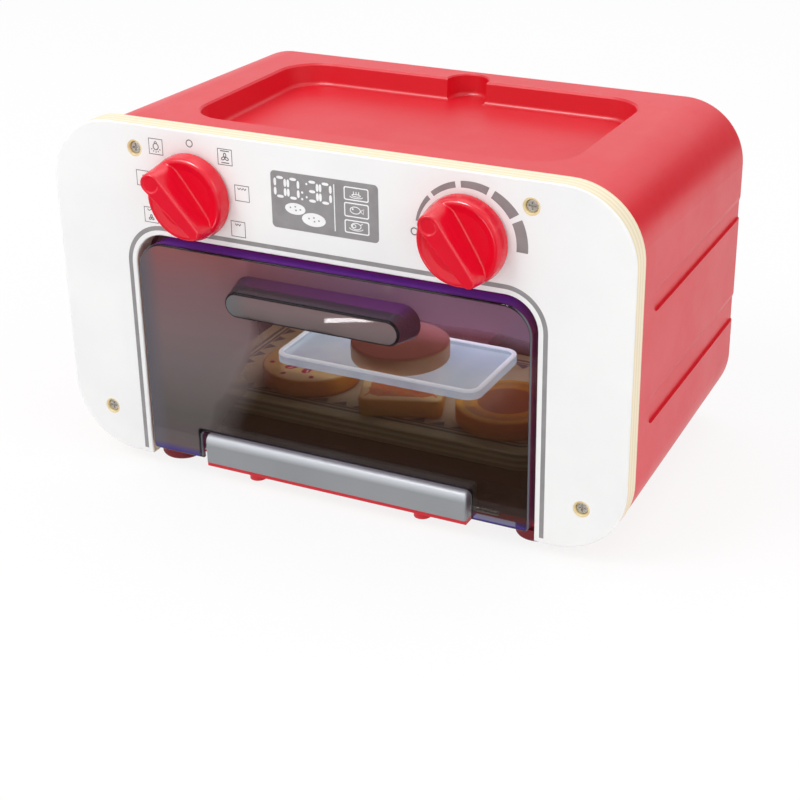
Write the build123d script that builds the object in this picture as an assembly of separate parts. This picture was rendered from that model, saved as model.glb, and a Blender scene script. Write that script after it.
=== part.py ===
from build123d import *
import os
from math import asin, atan2, cos, degrees, radians, sin

# Toy oven: a plywood front panel screwed to a moulded plastic body, with a drop-down door,
# two turning knobs, a cavity with a baking tray and a lit shelf, and battery electronics.
# Millimetres. Working frame: x to the right, y to the back, z up, with y = 0 on the
# panel's front face and z = 0 at the panel's bottom edge.

# ---- driving sizes: front panel ----
panel_width = 314.0
panel_height = 183.5
panel_thickness = 11.5
panel_corner = 36.0
panel_edge_round = 0.8
opening_side_rail = 46.5
opening_top_rail = 56.8
opening_corner = 17.0
screw_top_from_side = 50.7
screw_top_below_edge = 12.4
screw_low_from_side = 22.4
screw_low_z = 23.4

# ---- driving sizes: body shell ----
body_side_inset = 3.5
body_top_inset = 6.1
body_bottom_z = 1.0
body_depth = 174.0
body_front_corner = 26.2
body_back_corner = 33.4
body_side_draft = 2.2
body_top_draft = 2.0
body_back_round = 6.0
body_wall = 3.2
foot_drop = 7.0
recess_side_setback = 49.3
recess_front_setback = 31.0
recess_back_setback = 22.0
recess_depth = 14.0
recess_corner = 21.8
recess_wall = 3.0
recess_taper = 6.0
recess_edge_bevel = 0.7
recess_floor_round = 2.5
bevel_above = 1.0
notch_width = 23.2
notch_reach = 12.2
band_depth = 1.4
band_slope = 4.0
band_start = 26.0
band_end_round = 6.0
band_low_z = 53.8
band_low_height = 16.5
band_high_below_top = 64.9
band_high_height = 13.0
boss_radius = 4.6
boss_length = 24.0
boss_rib = 2.0
lip_bottom_z = 1.0
lip_top_z = 3.5
lip_front_y = -1.5
lip_boss_from_end = 27.0
lip_boss_radius = 4.5
lip_boss_drop = 4.0

# ---- driving sizes: door, hinge and handle ----
door_side_gap = 2.2
door_top_gap = 4.0
door_bottom_z = 5.0
door_proud = 2.0
door_depth = 12.0
door_face = 3.0
door_flange = 2.6
door_corner = 15.0
door_low_corner = 2.5
door_edge_round = 1.2
hinge_axis_y = 5.0
hinge_axis_z = 8.0
pin_radius = 1.5
pin_clearance = 0.06
pin_inside = 14.0
pin_outside = 15.0
bar_end_room = 33.3
bar_top_z = 19.0
bar_proud = 2.5
bar_round = 4.0
bar_edge_round = 1.0
notch_gap_side = 2.4
notch_gap_top = 1.8
notch_corner = 3.0
lug_width = 14.5
lug_height = 10.0
handle_below_top = 18.2
handle_reach = 16.0
handle_base_length = 103.0
handle_base_height = 19.0
handle_front_length = 95.0
handle_front_height = 13.0
handle_wall = 2.6
handle_edge_round = 1.6

# ---- driving sizes: knobs and their mechanism ----
knob_from_side = 83.2
knob_below_top = 32.5
knob_gap = 0.6
knob_radius = 22.0
knob_face_radius = 21.0
knob_disc = 8.6
knob_disc_round = 2.4
grip_length = 41.5
grip_base_radii = (7.8, 5.8)
grip_top_radii = (5.5, 3.4)
grip_lean = 0.75
dimple_radius = 4.0
dimple_depth = 0.7
grip_height = 13.9
grip_tail_fall = 4.5
grip_round = 2.0
hub_radius = 5.0
hub_clearance = 0.4
spigot_radius = 3.2
spigot_flat = 2.2
spigot_clearance = 0.1
left_rest_turn = -41.0
right_rest_turn = -35.0
left_turns = (-117.0, 117.0)
right_turns = (-87.0, 90.0)
left_steps = 7
right_steps = 6
carrier_from_side = 57.0
carrier_below_knob = 14.8
carrier_above_knob = 16.6
carrier_screw_edge = 5.0
carrier_screw_inner_x = 38.0
board_screw_inner_x = 28.0
carrier_thickness = 2.2
wheel_radius = 13.0
wheel_thickness = 3.0
wheel_play = 0.6
wheel_notch = 1.2
tab_reach = 2.6
tab_half_angle = 6.0
stop_clear_angle = 1.5
stop_gap = 0.4
stop_angle = 12.0
stop_width = 1.8
spring_nose = 0.8
spring_gap = 0.35
spring_strip = 0.6
spring_reach = 19.0
spring_post = 4.0
wiper_radius = 10.0
wiper_thickness = 0.5
wiper_finger = 1.2
wiper_play = 0.3
wiper_edge = 0.8
wiper_thick_way = 1.6
wiper_bore_gap = 0.8
board_thickness = 1.6
board_y = 23.0
big_chip = (0.0, 16.0, 12.0, 2.2)
small_chip = (17.5, 7.0, 7.0, 1.6)
capacitor_places = (-20.0, 34.0, -44.0)
capacitor_radius = 2.5
capacitor_height = 7.0
post_radius = 2.6
knob_screw_head = 2.8

# ---- driving sizes: cavity ----
cavity_side_gap = 4.5
cavity_floor_z = 20.5
cavity_top_gap = 2.7
cavity_back_gap = 22.3
cavity_wall = 2.5
cavity_corner = 9.0
cavity_low_corner = 1.0
flange_side_reach = 9.5
flange_top_reach = 7.3
flange_bottom_z = 4.4
flange_thickness = 2.5

# ---- driving sizes: lit shelf ----
shelf_side_room = 12.6
shelf_front_y = 44.5
shelf_biscuit_room = 5.8
shelf_top_z = 50.0
shelf_thickness = 5.0
shelf_rim = 2.6
shelf_well = 2.6
shelf_corner = 8.0
tongue_width = 12.0
tongue_x = 24.0
tongue_length = 7.0
tongue_thickness = 2.2
arm_half_width = 40.0
arm_height = 7.0
arm_wall = 1.4
arm_gap = 0.3
arm_plate_half_width = 54.0
arm_plate_height = 18.0
arm_plate_thickness = 2.4
arm_screw_edge = 6.0
arm_screw_end_gap = 0.4
led_board_gap = 3.0
led_board_thickness = 1.0
led_size = (3.0, 1.2, 2.6)
led_pitch = 12.0
led_count = 3

# ---- driving sizes: tray and biscuits ----
tray_side_gap = 3.0
tray_back_gap = 22.0
tray_thickness = 10.0
tray_front_y = 26.0
tray_corner = 17.0
tray_edge_round = 1.2
biscuit_side_room = 46.4
biscuit_pitch_gap = 4.8
biscuit_thickness = 10.0
biscuit_round = 1.5
waffle_less = 9.2
waffle_corner = 5.0
waffle_turn = 20.0
biscuit_row_x = 12.0
drops_y = 62.0
waffle_y = 58.0
sun_y = 60.0
shelf_biscuit_x = 2.0
shelf_edge_round = 0.8
rest_gap = 0.3

# ---- driving sizes: electronics and fasteners ----
rear_fitting_from_side = 83.5
rear_fitting_below_top = 34.4
speaker_radius = 16.5
speaker_flange = 2.0
speaker_cone_depth = 4.0
speaker_magnet_radius = 9.0
speaker_magnet_depth = 6.0
grille_hole = 1.3
grille_pitch = 5.0
grille_rings = 2
switch_slot = (12.4, 5.2)
switch_travel = 6.0
switch_body_size = (20.0, 6.0, 9.0)
slider_gap = 0.3
cell_radius = 5.2
cell_length = 44.5
cell_pitch = 11.2
cell_count = 3
cell_first_from_back = 67.7
battery_wall = 1.4
contact_thickness = 0.5
cover_gap = 0.3
cover_margin = 4.0
cover_screw_room = 6.0
cover_screw_edge = 4.5
cover_groove_count = 3
cover_groove_start = 5.0
cover_groove_pitch = 3.0
cover_groove_width = 1.2
cover_groove_depth = 0.8
cover_groove_half = 8.0
cell_nipple = 1.9
cell_nipple_length = 1.0
cell_gap = 0.4
contact_half_width = 4.0
contact_lift = 1.0
contact_height = 8.6
contact_coil = 2.2
foot_radius = 11.5
foot_round = 2.5
foot_peg = 2.5
foot_panel_gap = 0.2
foot_from_side = 48.8
foot_from_front = 9.0
foot_from_back = 17.7
panel_screw_head = 3.1
panel_screw_bore = 4.0
panel_screw_sink = 1.2
small_screw_shank = 1.2
small_screw_head = 2.6
small_screw_head_height = 1.6
screw_shank = 1.7
screw_clearance = 0.15
screw_head_height = 2.2
cross_width = 0.9
cross_depth = 1.2
pilot_depth = 7.0
pilot_clearance = 0.05
panel_screw_end_gap = 4.0
liner_screw_length = 9.0
carrier_screw_length = 8.0
board_screw_length = 7.0
knob_screw_length = 8.0
bar_screw_length = 10.0
cover_screw_length = 9.0

# ---- places worked out from the sizes ----
body_front_y = panel_thickness
body_back_y = body_front_y + body_depth
body_half_width = panel_width / 2 - body_side_inset
body_top_z = panel_height - body_top_inset
opening_width = panel_width - 2 * opening_side_rail
opening_height = panel_height - opening_top_rail
screw_top_x = panel_width / 2 - screw_top_from_side
shell_floor_z = body_bottom_z + body_wall
shell_back_y = body_back_y - body_wall
recess_width = 2 * (body_half_width - recess_side_setback)
recess_depth_y = body_depth - recess_front_setback - recess_back_setback
recess_front_y = body_front_y + recess_front_setback
recess_mid_y = recess_front_y + recess_depth_y / 2
recess_floor_z = body_top_z - recess_depth
notch_back_y = recess_front_y + recess_depth_y + notch_reach
band_high_z = body_top_z - band_high_below_top
speaker_x = body_half_width - rear_fitting_from_side
speaker_z = body_top_z - rear_fitting_below_top
switch_x = -speaker_x
switch_z = speaker_z
foot_x = body_half_width - foot_from_side
foot_front_y = body_front_y + foot_from_front
foot_back_y = body_back_y - foot_from_back
cell_first_y = body_back_y - cell_first_from_back
door_half_width = opening_width / 2 - door_side_gap
door_top_z = opening_height - door_top_gap
door_back_y = door_depth - door_proud
bar_half_width = door_half_width - bar_end_room
lip_half_width = bar_half_width
lip_boss_x = bar_half_width - lip_boss_from_end
door_notch_half = bar_half_width + notch_gap_side
door_notch_z = bar_top_z + notch_gap_top
handle_z = door_top_z - handle_below_top
handle_front_y = -door_proud - handle_reach
knob_x = panel_width / 2 - knob_from_side
knob_z = panel_height - knob_below_top
knob_back_y = -knob_gap
knob_face_y = knob_back_y - knob_disc
knob_front_y = knob_face_y - grip_height
carrier_half_width = panel_width / 2 - carrier_from_side
carrier_low_z = knob_z - carrier_below_knob
carrier_high_z = knob_z + carrier_above_knob
carrier_back_y = panel_thickness + carrier_thickness
wheel_front_y = carrier_back_y + wheel_play
wheel_back_y = wheel_front_y + wheel_thickness
wiper_back_y = wheel_back_y + wiper_thickness
cavity_half_width = opening_width / 2 - cavity_side_gap
cavity_top_z = opening_height - cavity_top_gap
cavity_back_y = shell_back_y - cavity_back_gap
flange_half_width = opening_width / 2 + flange_side_reach
flange_top_z = opening_height + flange_top_reach
tray_width = 2 * (cavity_half_width - tray_side_gap)
tray_depth = cavity_back_y - tray_front_y - tray_back_gap
biscuit_radius = (tray_width - biscuit_side_room) / 6
biscuit_pitch = 2 * biscuit_radius + biscuit_pitch_gap
waffle_side = 2 * biscuit_radius - waffle_less
drops_place = (biscuit_row_x - biscuit_pitch, drops_y)
waffle_place = (biscuit_row_x, waffle_y)
sun_place = (biscuit_row_x + biscuit_pitch, sun_y)
shelf_width = 4 * biscuit_radius + shelf_side_room
shelf_depth = 2 * biscuit_radius + shelf_biscuit_room
shelf_back_y = shelf_front_y + shelf_depth
shelf_mid_y = shelf_front_y + shelf_depth / 2
shelf_bottom_z = shelf_top_z - shelf_thickness
well_floor_z = shelf_top_z - shelf_well
arm_front_y = shelf_back_y + arm_gap
arm_mid_z = shelf_top_z - shelf_thickness / 2
tray_bottom_z = cavity_floor_z + rest_gap
tray_top_z = tray_bottom_z + tray_thickness
overall_front_y = min(knob_front_y, handle_front_y)
overall_depth = body_back_y - overall_front_y
origin_shift = (0, -overall_front_y - overall_depth / 2, foot_drop)
front_view = Plane((0, 0, 0), x_dir=(1, 0, 0), z_dir=(0, -1, 0))
side_view = Plane((0, 0, 0), x_dir=(0, 1, 0), z_dir=(1, 0, 0))
panel_screw_places = [
    (-screw_top_x, panel_height - screw_top_below_edge),
    (screw_top_x, panel_height - screw_top_below_edge),
    (screw_low_from_side - panel_width / 2, screw_low_z),
    (panel_width / 2 - screw_low_from_side, screw_low_z),
]


# ---- shape helpers ----
def block(x0, x1, y0, y1, z0, z1):
    middle = Pos((x0 + x1) / 2, (y0 + y1) / 2, (z0 + z1) / 2)
    return middle * Box(abs(x1 - x0), abs(y1 - y0), abs(z1 - z0))


def upright(sketch, y):
    return Pos(0, y, 0) * (front_view * sketch)


def slab(sketch, y0, y1):
    return extrude(upright(sketch, y0), amount=-(y1 - y0))


def plate(sketch, z0, z1):
    return extrude(Pos(0, 0, z0) * sketch, amount=z1 - z0)


def post_y(radius, x, z, y0, y1):
    return Pos(x, (y0 + y1) / 2, z) * Rot(90, 0, 0) * Cylinder(radius, abs(y1 - y0))


def post_z(radius, x, y, z0, z1):
    return Pos(x, y, (z0 + z1) / 2) * Cylinder(radius, abs(z1 - z0))


def post_x(radius, y, z, x0, x1):
    return Pos((x0 + x1) / 2, y, z) * Rot(0, 90, 0) * Cylinder(radius, abs(x1 - x0))


def mirrored(shape):
    return [shape, mirror(shape, about=Plane.YZ)]


def arch(half_width, top, corner, below):
    outline = RectangleRounded(2 * half_width, top + below, corner)
    return Pos(0, (top - below) / 2) * outline


def edge_points(edge, axis):
    return [tuple(edge.position_at(share))[axis] for share in (0, 0.25, 0.5, 0.75, 1)]


def edges_at(shape, axis, value):
    def lies_there(edge):
        return all(abs(v - value) < 1e-3 for v in edge_points(edge, axis))
    return [edge for edge in shape.edges() if lies_there(edge)]


def edge_span(edge, axis):
    return min(edge_points(edge, axis)), max(edge_points(edge, axis))


def cross_slot(reach, depth):
    bar = Box(2 * reach, cross_width, depth)
    return bar + Rot(0, 0, 90) * bar


def screw_z(shank, head, head_height, length):
    """A pan-head screw along z: head above z = 0, shank below."""
    body = Pos(0, 0, head_height / 2) * Cylinder(head, head_height)
    body = fillet(edges_at(body, 2, head_height), head_height * 0.4)
    body += Pos(0, 0, -length / 2) * Cylinder(shank, length)
    return body - Pos(0, 0, head_height - cross_depth / 2) * cross_slot(head * 0.62, cross_depth)


def sector(inner, outer, start, end):
    """A ring sector in the front view, angles clockwise from straight up."""
    def spot(radius, angle):
        return (radius * sin(radians(angle)), radius * cos(radians(angle)))
    middle = (start + end) / 2
    outside = ThreePointArc(spot(outer, start), spot(outer, middle), spot(outer, end))
    inside = ThreePointArc(spot(inner, end), spot(inner, middle), spot(inner, start))
    first = Line(spot(inner, start), spot(outer, start))
    last = Line(spot(outer, end), spot(inner, end))
    return make_face([first, outside, last, inside])


def tunnel(half_width, low_z, high_z, top_corner, low_corner):
    """An upright rectangle whose top and bottom corners have their own radii."""
    outline = Pos(0, (low_z + high_z) / 2) * Rectangle(2 * half_width, high_z - low_z)
    outline = fillet(outline.vertices().group_by(Axis.Y)[-1], top_corner)
    return fillet(outline.vertices().group_by(Axis.Y)[0], low_corner)


# ---- front panel ----
def make_front_panel():
    outline = Pos(0, panel_height / 2) * RectangleRounded(panel_width, panel_height, panel_corner)
    opening = arch(opening_width / 2, opening_height, opening_corner, 2 * opening_corner)
    panel = slab(outline - opening, 0, panel_thickness)
    panel = fillet(edges_at(panel, 1, 0), panel_edge_round)
    for x, z in panel_screw_places:
        panel -= post_y(panel_screw_bore, x, z, -1, panel_screw_sink + screw_head_height)
        panel -= post_y(screw_shank + screw_clearance, x, z, -1, panel_thickness + 1)
    for side in (-1, 1):
        panel -= post_y(hub_radius + hub_clearance, side * knob_x, knob_z, -1, panel_thickness + 1)
        for x, z in carrier_screw_places():
            panel -= small_pilot(side * x, z)
        for x, z in liner_screw_places():
            panel -= small_pilot(side * x, z)
    return panel


def small_pilot(x, z):
    radius = small_screw_shank + pilot_clearance
    return post_y(radius, x, z, panel_thickness - pilot_depth, panel_thickness + 1)


def carrier_screw_places():
    edge = carrier_screw_edge
    return [(carrier_half_width - edge, carrier_high_z - edge), (carrier_screw_inner_x, carrier_low_z + edge)]


def liner_screw_places():
    edge = (flange_half_width + cavity_half_width + cavity_wall) / 2
    return [(edge, flange_top_z - 6), (edge, flange_bottom_z + 14)]


def make_panel_screws():
    screws = []
    seat_y = panel_screw_sink + screw_head_height
    length = panel_thickness + boss_length - seat_y - panel_screw_end_gap
    screw = screw_z(screw_shank, panel_screw_head, screw_head_height, length)
    for x, z in panel_screw_places:
        screws.append(Pos(x, seat_y, z) * Rot(90, 0, 0) * screw)
    return screws


# ---- body shell ----
def body_section(inset, y):
    """The outline of the body at y: narrower, lower and rounder towards the back."""
    share = (y - body_front_y) / body_depth
    width = 2 * (body_half_width - body_side_draft * share - inset)
    top_z = body_top_z - body_top_draft * share
    height = top_z - body_bottom_z - 2 * inset
    corner = body_front_corner + (body_back_corner - body_front_corner) * share - inset
    return upright(Pos(0, (top_z + body_bottom_z) / 2) * RectangleRounded(width, height, corner), y)


def body_block(inset, front_y, back_y, back_round):
    solid = loft([body_section(inset, front_y), body_section(inset, back_y)], ruled=True)
    return fillet(edges_at(solid, 1, back_y), back_round)


def side_band(low_z, height):
    face_x = body_half_width
    inner_x = face_x - band_depth
    outer_x = face_x + band_depth
    slope_rise = band_slope * (outer_x - inner_x) / band_depth
    points = [(inner_x, low_z), (outer_x, low_z), (outer_x, low_z + height + slope_rise - band_slope),
              (inner_x, low_z + height - band_slope)]
    prism = slab(make_face(Polyline(*points, close=True)), body_front_y + band_start, body_back_y + 5)
    reach = body_back_y + 2 * band_end_round - body_front_y - band_start
    middle_y = body_front_y + band_start + reach / 2
    window = Pos(middle_y, low_z + height / 2) * RectangleRounded(reach, height, band_end_round)
    band = prism & extrude(Pos(inner_x - 1, 0, 0) * (side_view * window), amount=2 * band_depth + 2)
    lean = degrees(atan2(body_side_draft, body_depth))
    return Pos(face_x, body_front_y, 0) * Rot(0, 0, lean) * Pos(-face_x, -body_front_y, 0) * band


def recess_outline(grow):
    width = recess_width + 2 * grow
    depth = recess_depth_y + 2 * grow
    return Pos(0, recess_mid_y) * RectangleRounded(width, depth, recess_corner + grow)


def notch_outline(grow):
    half = notch_width / 2 + grow
    centre_y = notch_back_y - notch_width / 2
    front = recess_front_y + recess_depth_y - recess_corner
    straight = Pos(0, (front + centre_y) / 2) * Rectangle(2 * half, centre_y - front)
    return straight + Pos(0, centre_y) * Circle(half)


def recess_pan(grow, bottom_z, top_z):
    return extrude(Pos(0, 0, top_z) * recess_outline(grow), amount=bottom_z - top_z, taper=recess_taper)


def notch_block(grow, bottom_z, top_z):
    return plate(notch_outline(grow), bottom_z, top_z)


def recess_bevel():
    """A wedge all round the recess and its notch that bevels their rim along the sloping roof."""
    lean = degrees(atan2(body_top_draft, body_depth))
    roof = Pos(0, body_front_y, body_top_z) * Rot(-lean, 0, 0) * Pos(0, -body_front_y, 0)
    wedge = Part()
    for outline in (recess_outline, notch_outline):
        start = Pos(0, 0, bevel_above) * outline(recess_edge_bevel + bevel_above)
        wedge += extrude(start, amount=-(bevel_above + 2 * recess_edge_bevel), taper=45)
    return roof * wedge


def recess_space():
    space = recess_bevel()
    for cut in (recess_pan, notch_block):
        hollow = cut(0, recess_floor_z, body_top_z + bevel_above)
        space += fillet(edges_at(hollow, 2, recess_floor_z), recess_floor_round)
    return space


def make_body_shell():
    shell = body_block(0, body_front_y, body_back_y, body_back_round)
    shell -= body_block(body_wall, body_front_y - 1, shell_back_y, body_back_round - body_wall)
    for low_z, height in ((band_low_z, band_low_height), (band_high_z, band_high_height)):
        for band in mirrored(side_band(low_z, height)):
            shell -= band
    pan_bottom = recess_floor_z - recess_wall
    ceiling = body_top_z - body_top_draft - body_wall / 4
    shell += recess_pan(recess_wall, pan_bottom, ceiling)
    shell += notch_block(recess_wall, pan_bottom, ceiling) & body_block(0.5, body_front_y, body_back_y, 5)
    shell -= recess_space()
    shell += shell_bosses()
    shell += shell_lip()
    shell -= back_cutouts()
    shell -= bottom_cutouts()
    return shell


def shell_bosses():
    bosses = []
    back_y = body_front_y + boss_length
    for x, z in panel_screw_places:
        side = 1 if x > 0 else -1
        boss = post_y(boss_radius, x, z, body_front_y, back_y)
        if z < panel_height / 2:
            wall_x = side * (body_half_width - body_wall / 2)
            boss += block(x, wall_x, body_front_y, back_y, z - boss_rib / 2, z + boss_rib / 2)
        boss = boss - post_y(screw_shank + pilot_clearance, x, z, body_front_y - 1, back_y - 2)
        bosses.append(boss)
    return bosses


def shell_lip():
    lip = block(-lip_half_width, lip_half_width, lip_front_y, body_front_y + 6, lip_bottom_z, lip_top_z)
    for x in (-lip_boss_x, lip_boss_x):
        lip += post_z(lip_boss_radius, x, hinge_axis_y, lip_bottom_z - lip_boss_drop, lip_bottom_z)
        lip -= post_z(small_screw_head + 0.2, x, hinge_axis_y, -20, lip_screw_seat_z())
        lip -= post_z(small_screw_shank + screw_clearance, x, hinge_axis_y, -20, lip_top_z + 1)
    return lip


def lip_screw_seat_z():
    return lip_bottom_z - lip_boss_drop + small_screw_head_height + 0.3


def grille_places():
    places = [(0.0, 0.0)]
    for ring in range(1, grille_rings + 1):
        for step in range(6 * ring):
            angle = radians(360 * step / (6 * ring))
            places.append((grille_pitch * ring * cos(angle), grille_pitch * ring * sin(angle)))
    return places


def back_cutouts():
    cuts = []
    for x, z in grille_places():
        cuts.append(post_y(grille_hole, speaker_x + x, speaker_z + z, shell_back_y - 1, body_back_y + 1))
    width, height = switch_slot
    cuts.append(block(switch_x - width / 2, switch_x + width / 2, shell_back_y - 1, body_back_y + 1,
                      switch_z - height / 2, switch_z + height / 2))
    return cuts


def bottom_cutouts():
    x, y0, y1 = cover_extent()
    gap = cover_gap
    cuts = [block(-x - gap, x + gap, y0 - gap, y1 + gap, body_bottom_z - 1, shell_floor_z + 0.5)]
    for foot_at_x, foot_at_y in foot_places():
        cuts.append(post_z(foot_peg + 0.1, foot_at_x, foot_at_y, body_bottom_z - 1, shell_floor_z + 1))
    return cuts


# ---- feet ----
def foot_places():
    return [(x, y) for x in (-foot_x, foot_x) for y in (foot_front_y, foot_back_y)]


def make_feet():
    feet = []
    for x, y in foot_places():
        foot = post_z(foot_radius, x, y, -foot_drop, body_bottom_z)
        foot = fillet(edges_at(foot, 2, -foot_drop), foot_round)
        if y < body_front_y + foot_radius + foot_panel_gap:
            under_panel = block(x - foot_radius - 1, x + foot_radius + 1, y - foot_radius - 1,
                                body_front_y + foot_panel_gap, -foot_panel_gap, body_bottom_z + 1)
            foot -= under_panel
        foot += post_z(foot_peg, x, y, body_bottom_z, shell_floor_z + 0.6)
        feet.append(foot)
    return feet


# ---- hinge bar, pins and screws ----
def make_hinge_bar():
    bar = block(-bar_half_width, bar_half_width, -bar_proud, panel_thickness, lip_top_z, bar_top_z)
    long_edges = [edge for edge in edges_at(bar, 1, -bar_proud) if edge_span(edge, 2)[0] > bar_top_z - 0.1]
    bar = fillet(long_edges, bar_round)
    ends = [edge for edge in bar.edges() if edge_span(edge, 0)[1] - edge_span(edge, 0)[0] < 0.01
            and edge_span(edge, 1)[0] < panel_thickness - 1 and edge_span(edge, 2)[1] > lip_top_z + 1
            and edge_span(edge, 1)[1] < panel_thickness + 1]
    bar = fillet(ends, bar_edge_round)
    for side in (-1, 1):
        bar -= post_x(pin_radius, hinge_axis_y, hinge_axis_z, side * (bar_half_width - pin_inside),
                      side * (bar_half_width + 1))
        hole_top = bar_screw_top_z() + 0.5
        bar -= post_z(small_screw_shank, side * lip_boss_x, hinge_axis_y, lip_top_z - 1, hole_top)
    return bar


def bar_screw_top_z():
    return lip_screw_seat_z() + bar_screw_length


def make_hinge_bar_screws():
    length = bar_screw_top_z() - lip_screw_seat_z()
    screw = screw_z(small_screw_shank, small_screw_head, small_screw_head_height, length)
    seat_z = lip_screw_seat_z()
    return [Pos(x, hinge_axis_y, seat_z) * Rot(180, 0, 0) * screw for x in (-lip_boss_x, lip_boss_x)]


def make_hinge_pins():
    start = bar_half_width - pin_inside
    end = bar_half_width + pin_outside
    pin = post_x(pin_radius, hinge_axis_y, hinge_axis_z, start, end)
    return mirrored(pin)


# ---- door ----
def door_outline():
    outline = tunnel(door_half_width, door_bottom_z, door_top_z, door_corner, door_low_corner)
    notch = Pos(0, (door_bottom_z - 10 + door_notch_z) / 2)
    notch *= Rectangle(2 * door_notch_half, door_notch_z - door_bottom_z + 10)
    notch = fillet(notch.vertices().group_by(Axis.Y)[-1], notch_corner)
    return outline - notch


def make_door_panel():
    outline = door_outline()
    inner = offset(outline, amount=-door_flange, kind=Kind.INTERSECTION)
    door = slab(outline, -door_proud, door_back_y)
    door = fillet(edges_at(door, 1, -door_proud), door_edge_round)
    door -= slab(inner, door_face - door_proud, door_back_y + 1)
    for side in (-1, 1):
        near = side * door_notch_half
        far = side * (door_notch_half + lug_width)
        lug = block(near, far, -door_proud + 1, door_back_y, door_bottom_z, door_bottom_z + lug_height)
        door += lug
        bore = pin_radius + pin_clearance
        door -= post_x(bore, hinge_axis_y, hinge_axis_z, near - side * 2, far + side * 2)
    return door


def handle_block(shrink, front_y, back_y):
    base = SlotOverall(handle_base_length - 2 * shrink, handle_base_height - 2 * shrink)
    front = SlotOverall(handle_front_length - 2 * shrink, handle_front_height - 2 * shrink)
    return loft([upright(Pos(0, handle_z) * base, back_y), upright(Pos(0, handle_z) * front, front_y)])


def make_door_handle():
    solid = handle_block(0, handle_front_y, -door_proud)
    solid = fillet(edges_at(solid, 1, handle_front_y), handle_edge_round)
    return solid - handle_block(handle_wall, handle_front_y + handle_wall, -door_proud)


# ---- knobs and their mechanism, built round the axis through x = 0, z = 0 ----
def turned(shape, turn):
    return Rot(0, turn, 0) * shape


def drop_outline(length, radii):
    """A drop shape along z: a broad nose above, a narrower tail below, straight sides between."""
    nose, tail = radii
    circles = Pos(0, length / 2 - nose) * Circle(nose) + Pos(0, tail - length / 2) * Circle(tail)
    return make_hull(circles.edges())


def make_knob():
    disc = Pos(0, (knob_back_y + knob_face_y) / 2, 0) * Rot(90, 0, 0)
    disc *= Cone(knob_radius, knob_face_radius, knob_disc)
    knob = fillet(edges_at(disc, 1, knob_face_y), knob_disc_round)
    base = drop_outline(grip_length, grip_base_radii)
    top = drop_outline(grip_length - 2 * grip_lean, grip_top_radii)
    lean = degrees(asin(grip_tail_fall / grip_length))
    top_plane = Pos(0, knob_front_y + grip_tail_fall / 2, 0) * Rot(lean, 0, 0)
    grip = loft([upright(base, knob_face_y + knob_disc_round), top_plane * upright(top, 0)])
    grip = fillet(grip.faces().sort_by(Axis.Y)[0].edges(), grip_round)
    ball = (dimple_radius ** 2 + dimple_depth ** 2) / (2 * dimple_depth)
    dimple_z = grip_length / 2 - grip_lean - grip_top_radii[0]
    grip = Pos(0, knob_front_y - grip.bounding_box().min.Y, 0) * grip
    grip -= top_plane * Pos(0, dimple_depth - ball, dimple_z) * Sphere(ball)
    knob += grip
    knob += post_y(hub_radius, 0, 0, knob_back_y, wheel_front_y)
    spigot = post_y(spigot_radius, 0, 0, wheel_front_y, wheel_back_y)
    spigot -= block(-9, 9, wheel_front_y - 1, wheel_back_y + 1, spigot_flat, 9)
    knob += spigot
    return knob - post_y(small_screw_shank, 0, 0, wheel_back_y - 10, wheel_back_y + 1)


def make_detent_wheel(steps, turns):
    wheel = post_y(wheel_radius, 0, 0, wheel_front_y, wheel_back_y)
    tab = sector(wheel_radius - 2, wheel_radius + tab_reach, 180 - tab_half_angle, 180 + tab_half_angle)
    wheel += slab(tab, wheel_front_y, wheel_back_y)
    start, end = turns
    for step in range(steps):
        angle = radians(start + (end - start) * step / (steps - 1))
        wheel -= post_y(wheel_notch, -(wheel_radius + 0.4) * sin(angle), (wheel_radius + 0.4) * cos(angle),
                        wheel_front_y - 1, wheel_back_y + 1)
    bore = post_y(spigot_radius + spigot_clearance, 0, 0, wheel_front_y - 1, wheel_back_y + 1)
    bore -= block(-9, 9, wheel_front_y - 1, wheel_back_y + 1, spigot_flat + spigot_clearance, 9)
    return wheel - bore


def make_wiper():
    ring = post_y(wiper_radius, 0, 0, wheel_back_y, wiper_back_y)
    ring -= post_y(knob_screw_head + wiper_bore_gap, 0, 0, wheel_back_y - 1, wiper_back_y + 1)
    tip_y = board_y - wiper_play
    outer = wiper_radius - wiper_edge
    finger = block(-wiper_finger, wiper_finger, wiper_back_y, tip_y, outer - wiper_thick_way, outer)
    for angle in (0, 120, 240):
        ring += Rot(0, angle, 0) * finger
    return ring


def make_knob_screw():
    screw = screw_z(small_screw_shank, knob_screw_head, small_screw_head_height, knob_screw_length)
    return Pos(0, wheel_back_y, 0) * Rot(-90, 0, 0) * screw


def make_knob_set(side, name, turns, rest, steps):
    place = Pos(side * knob_x, 0, knob_z)
    return {
        f"{name}_knob": place * turned(make_knob(), rest),
        f"{name}_detent_wheel": place * turned(make_detent_wheel(steps, turns), rest),
        f"{name}_wiper": place * turned(make_wiper(), rest),
        f"{name}_knob_screw": place * turned(make_knob_screw(), rest),
    }


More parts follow.
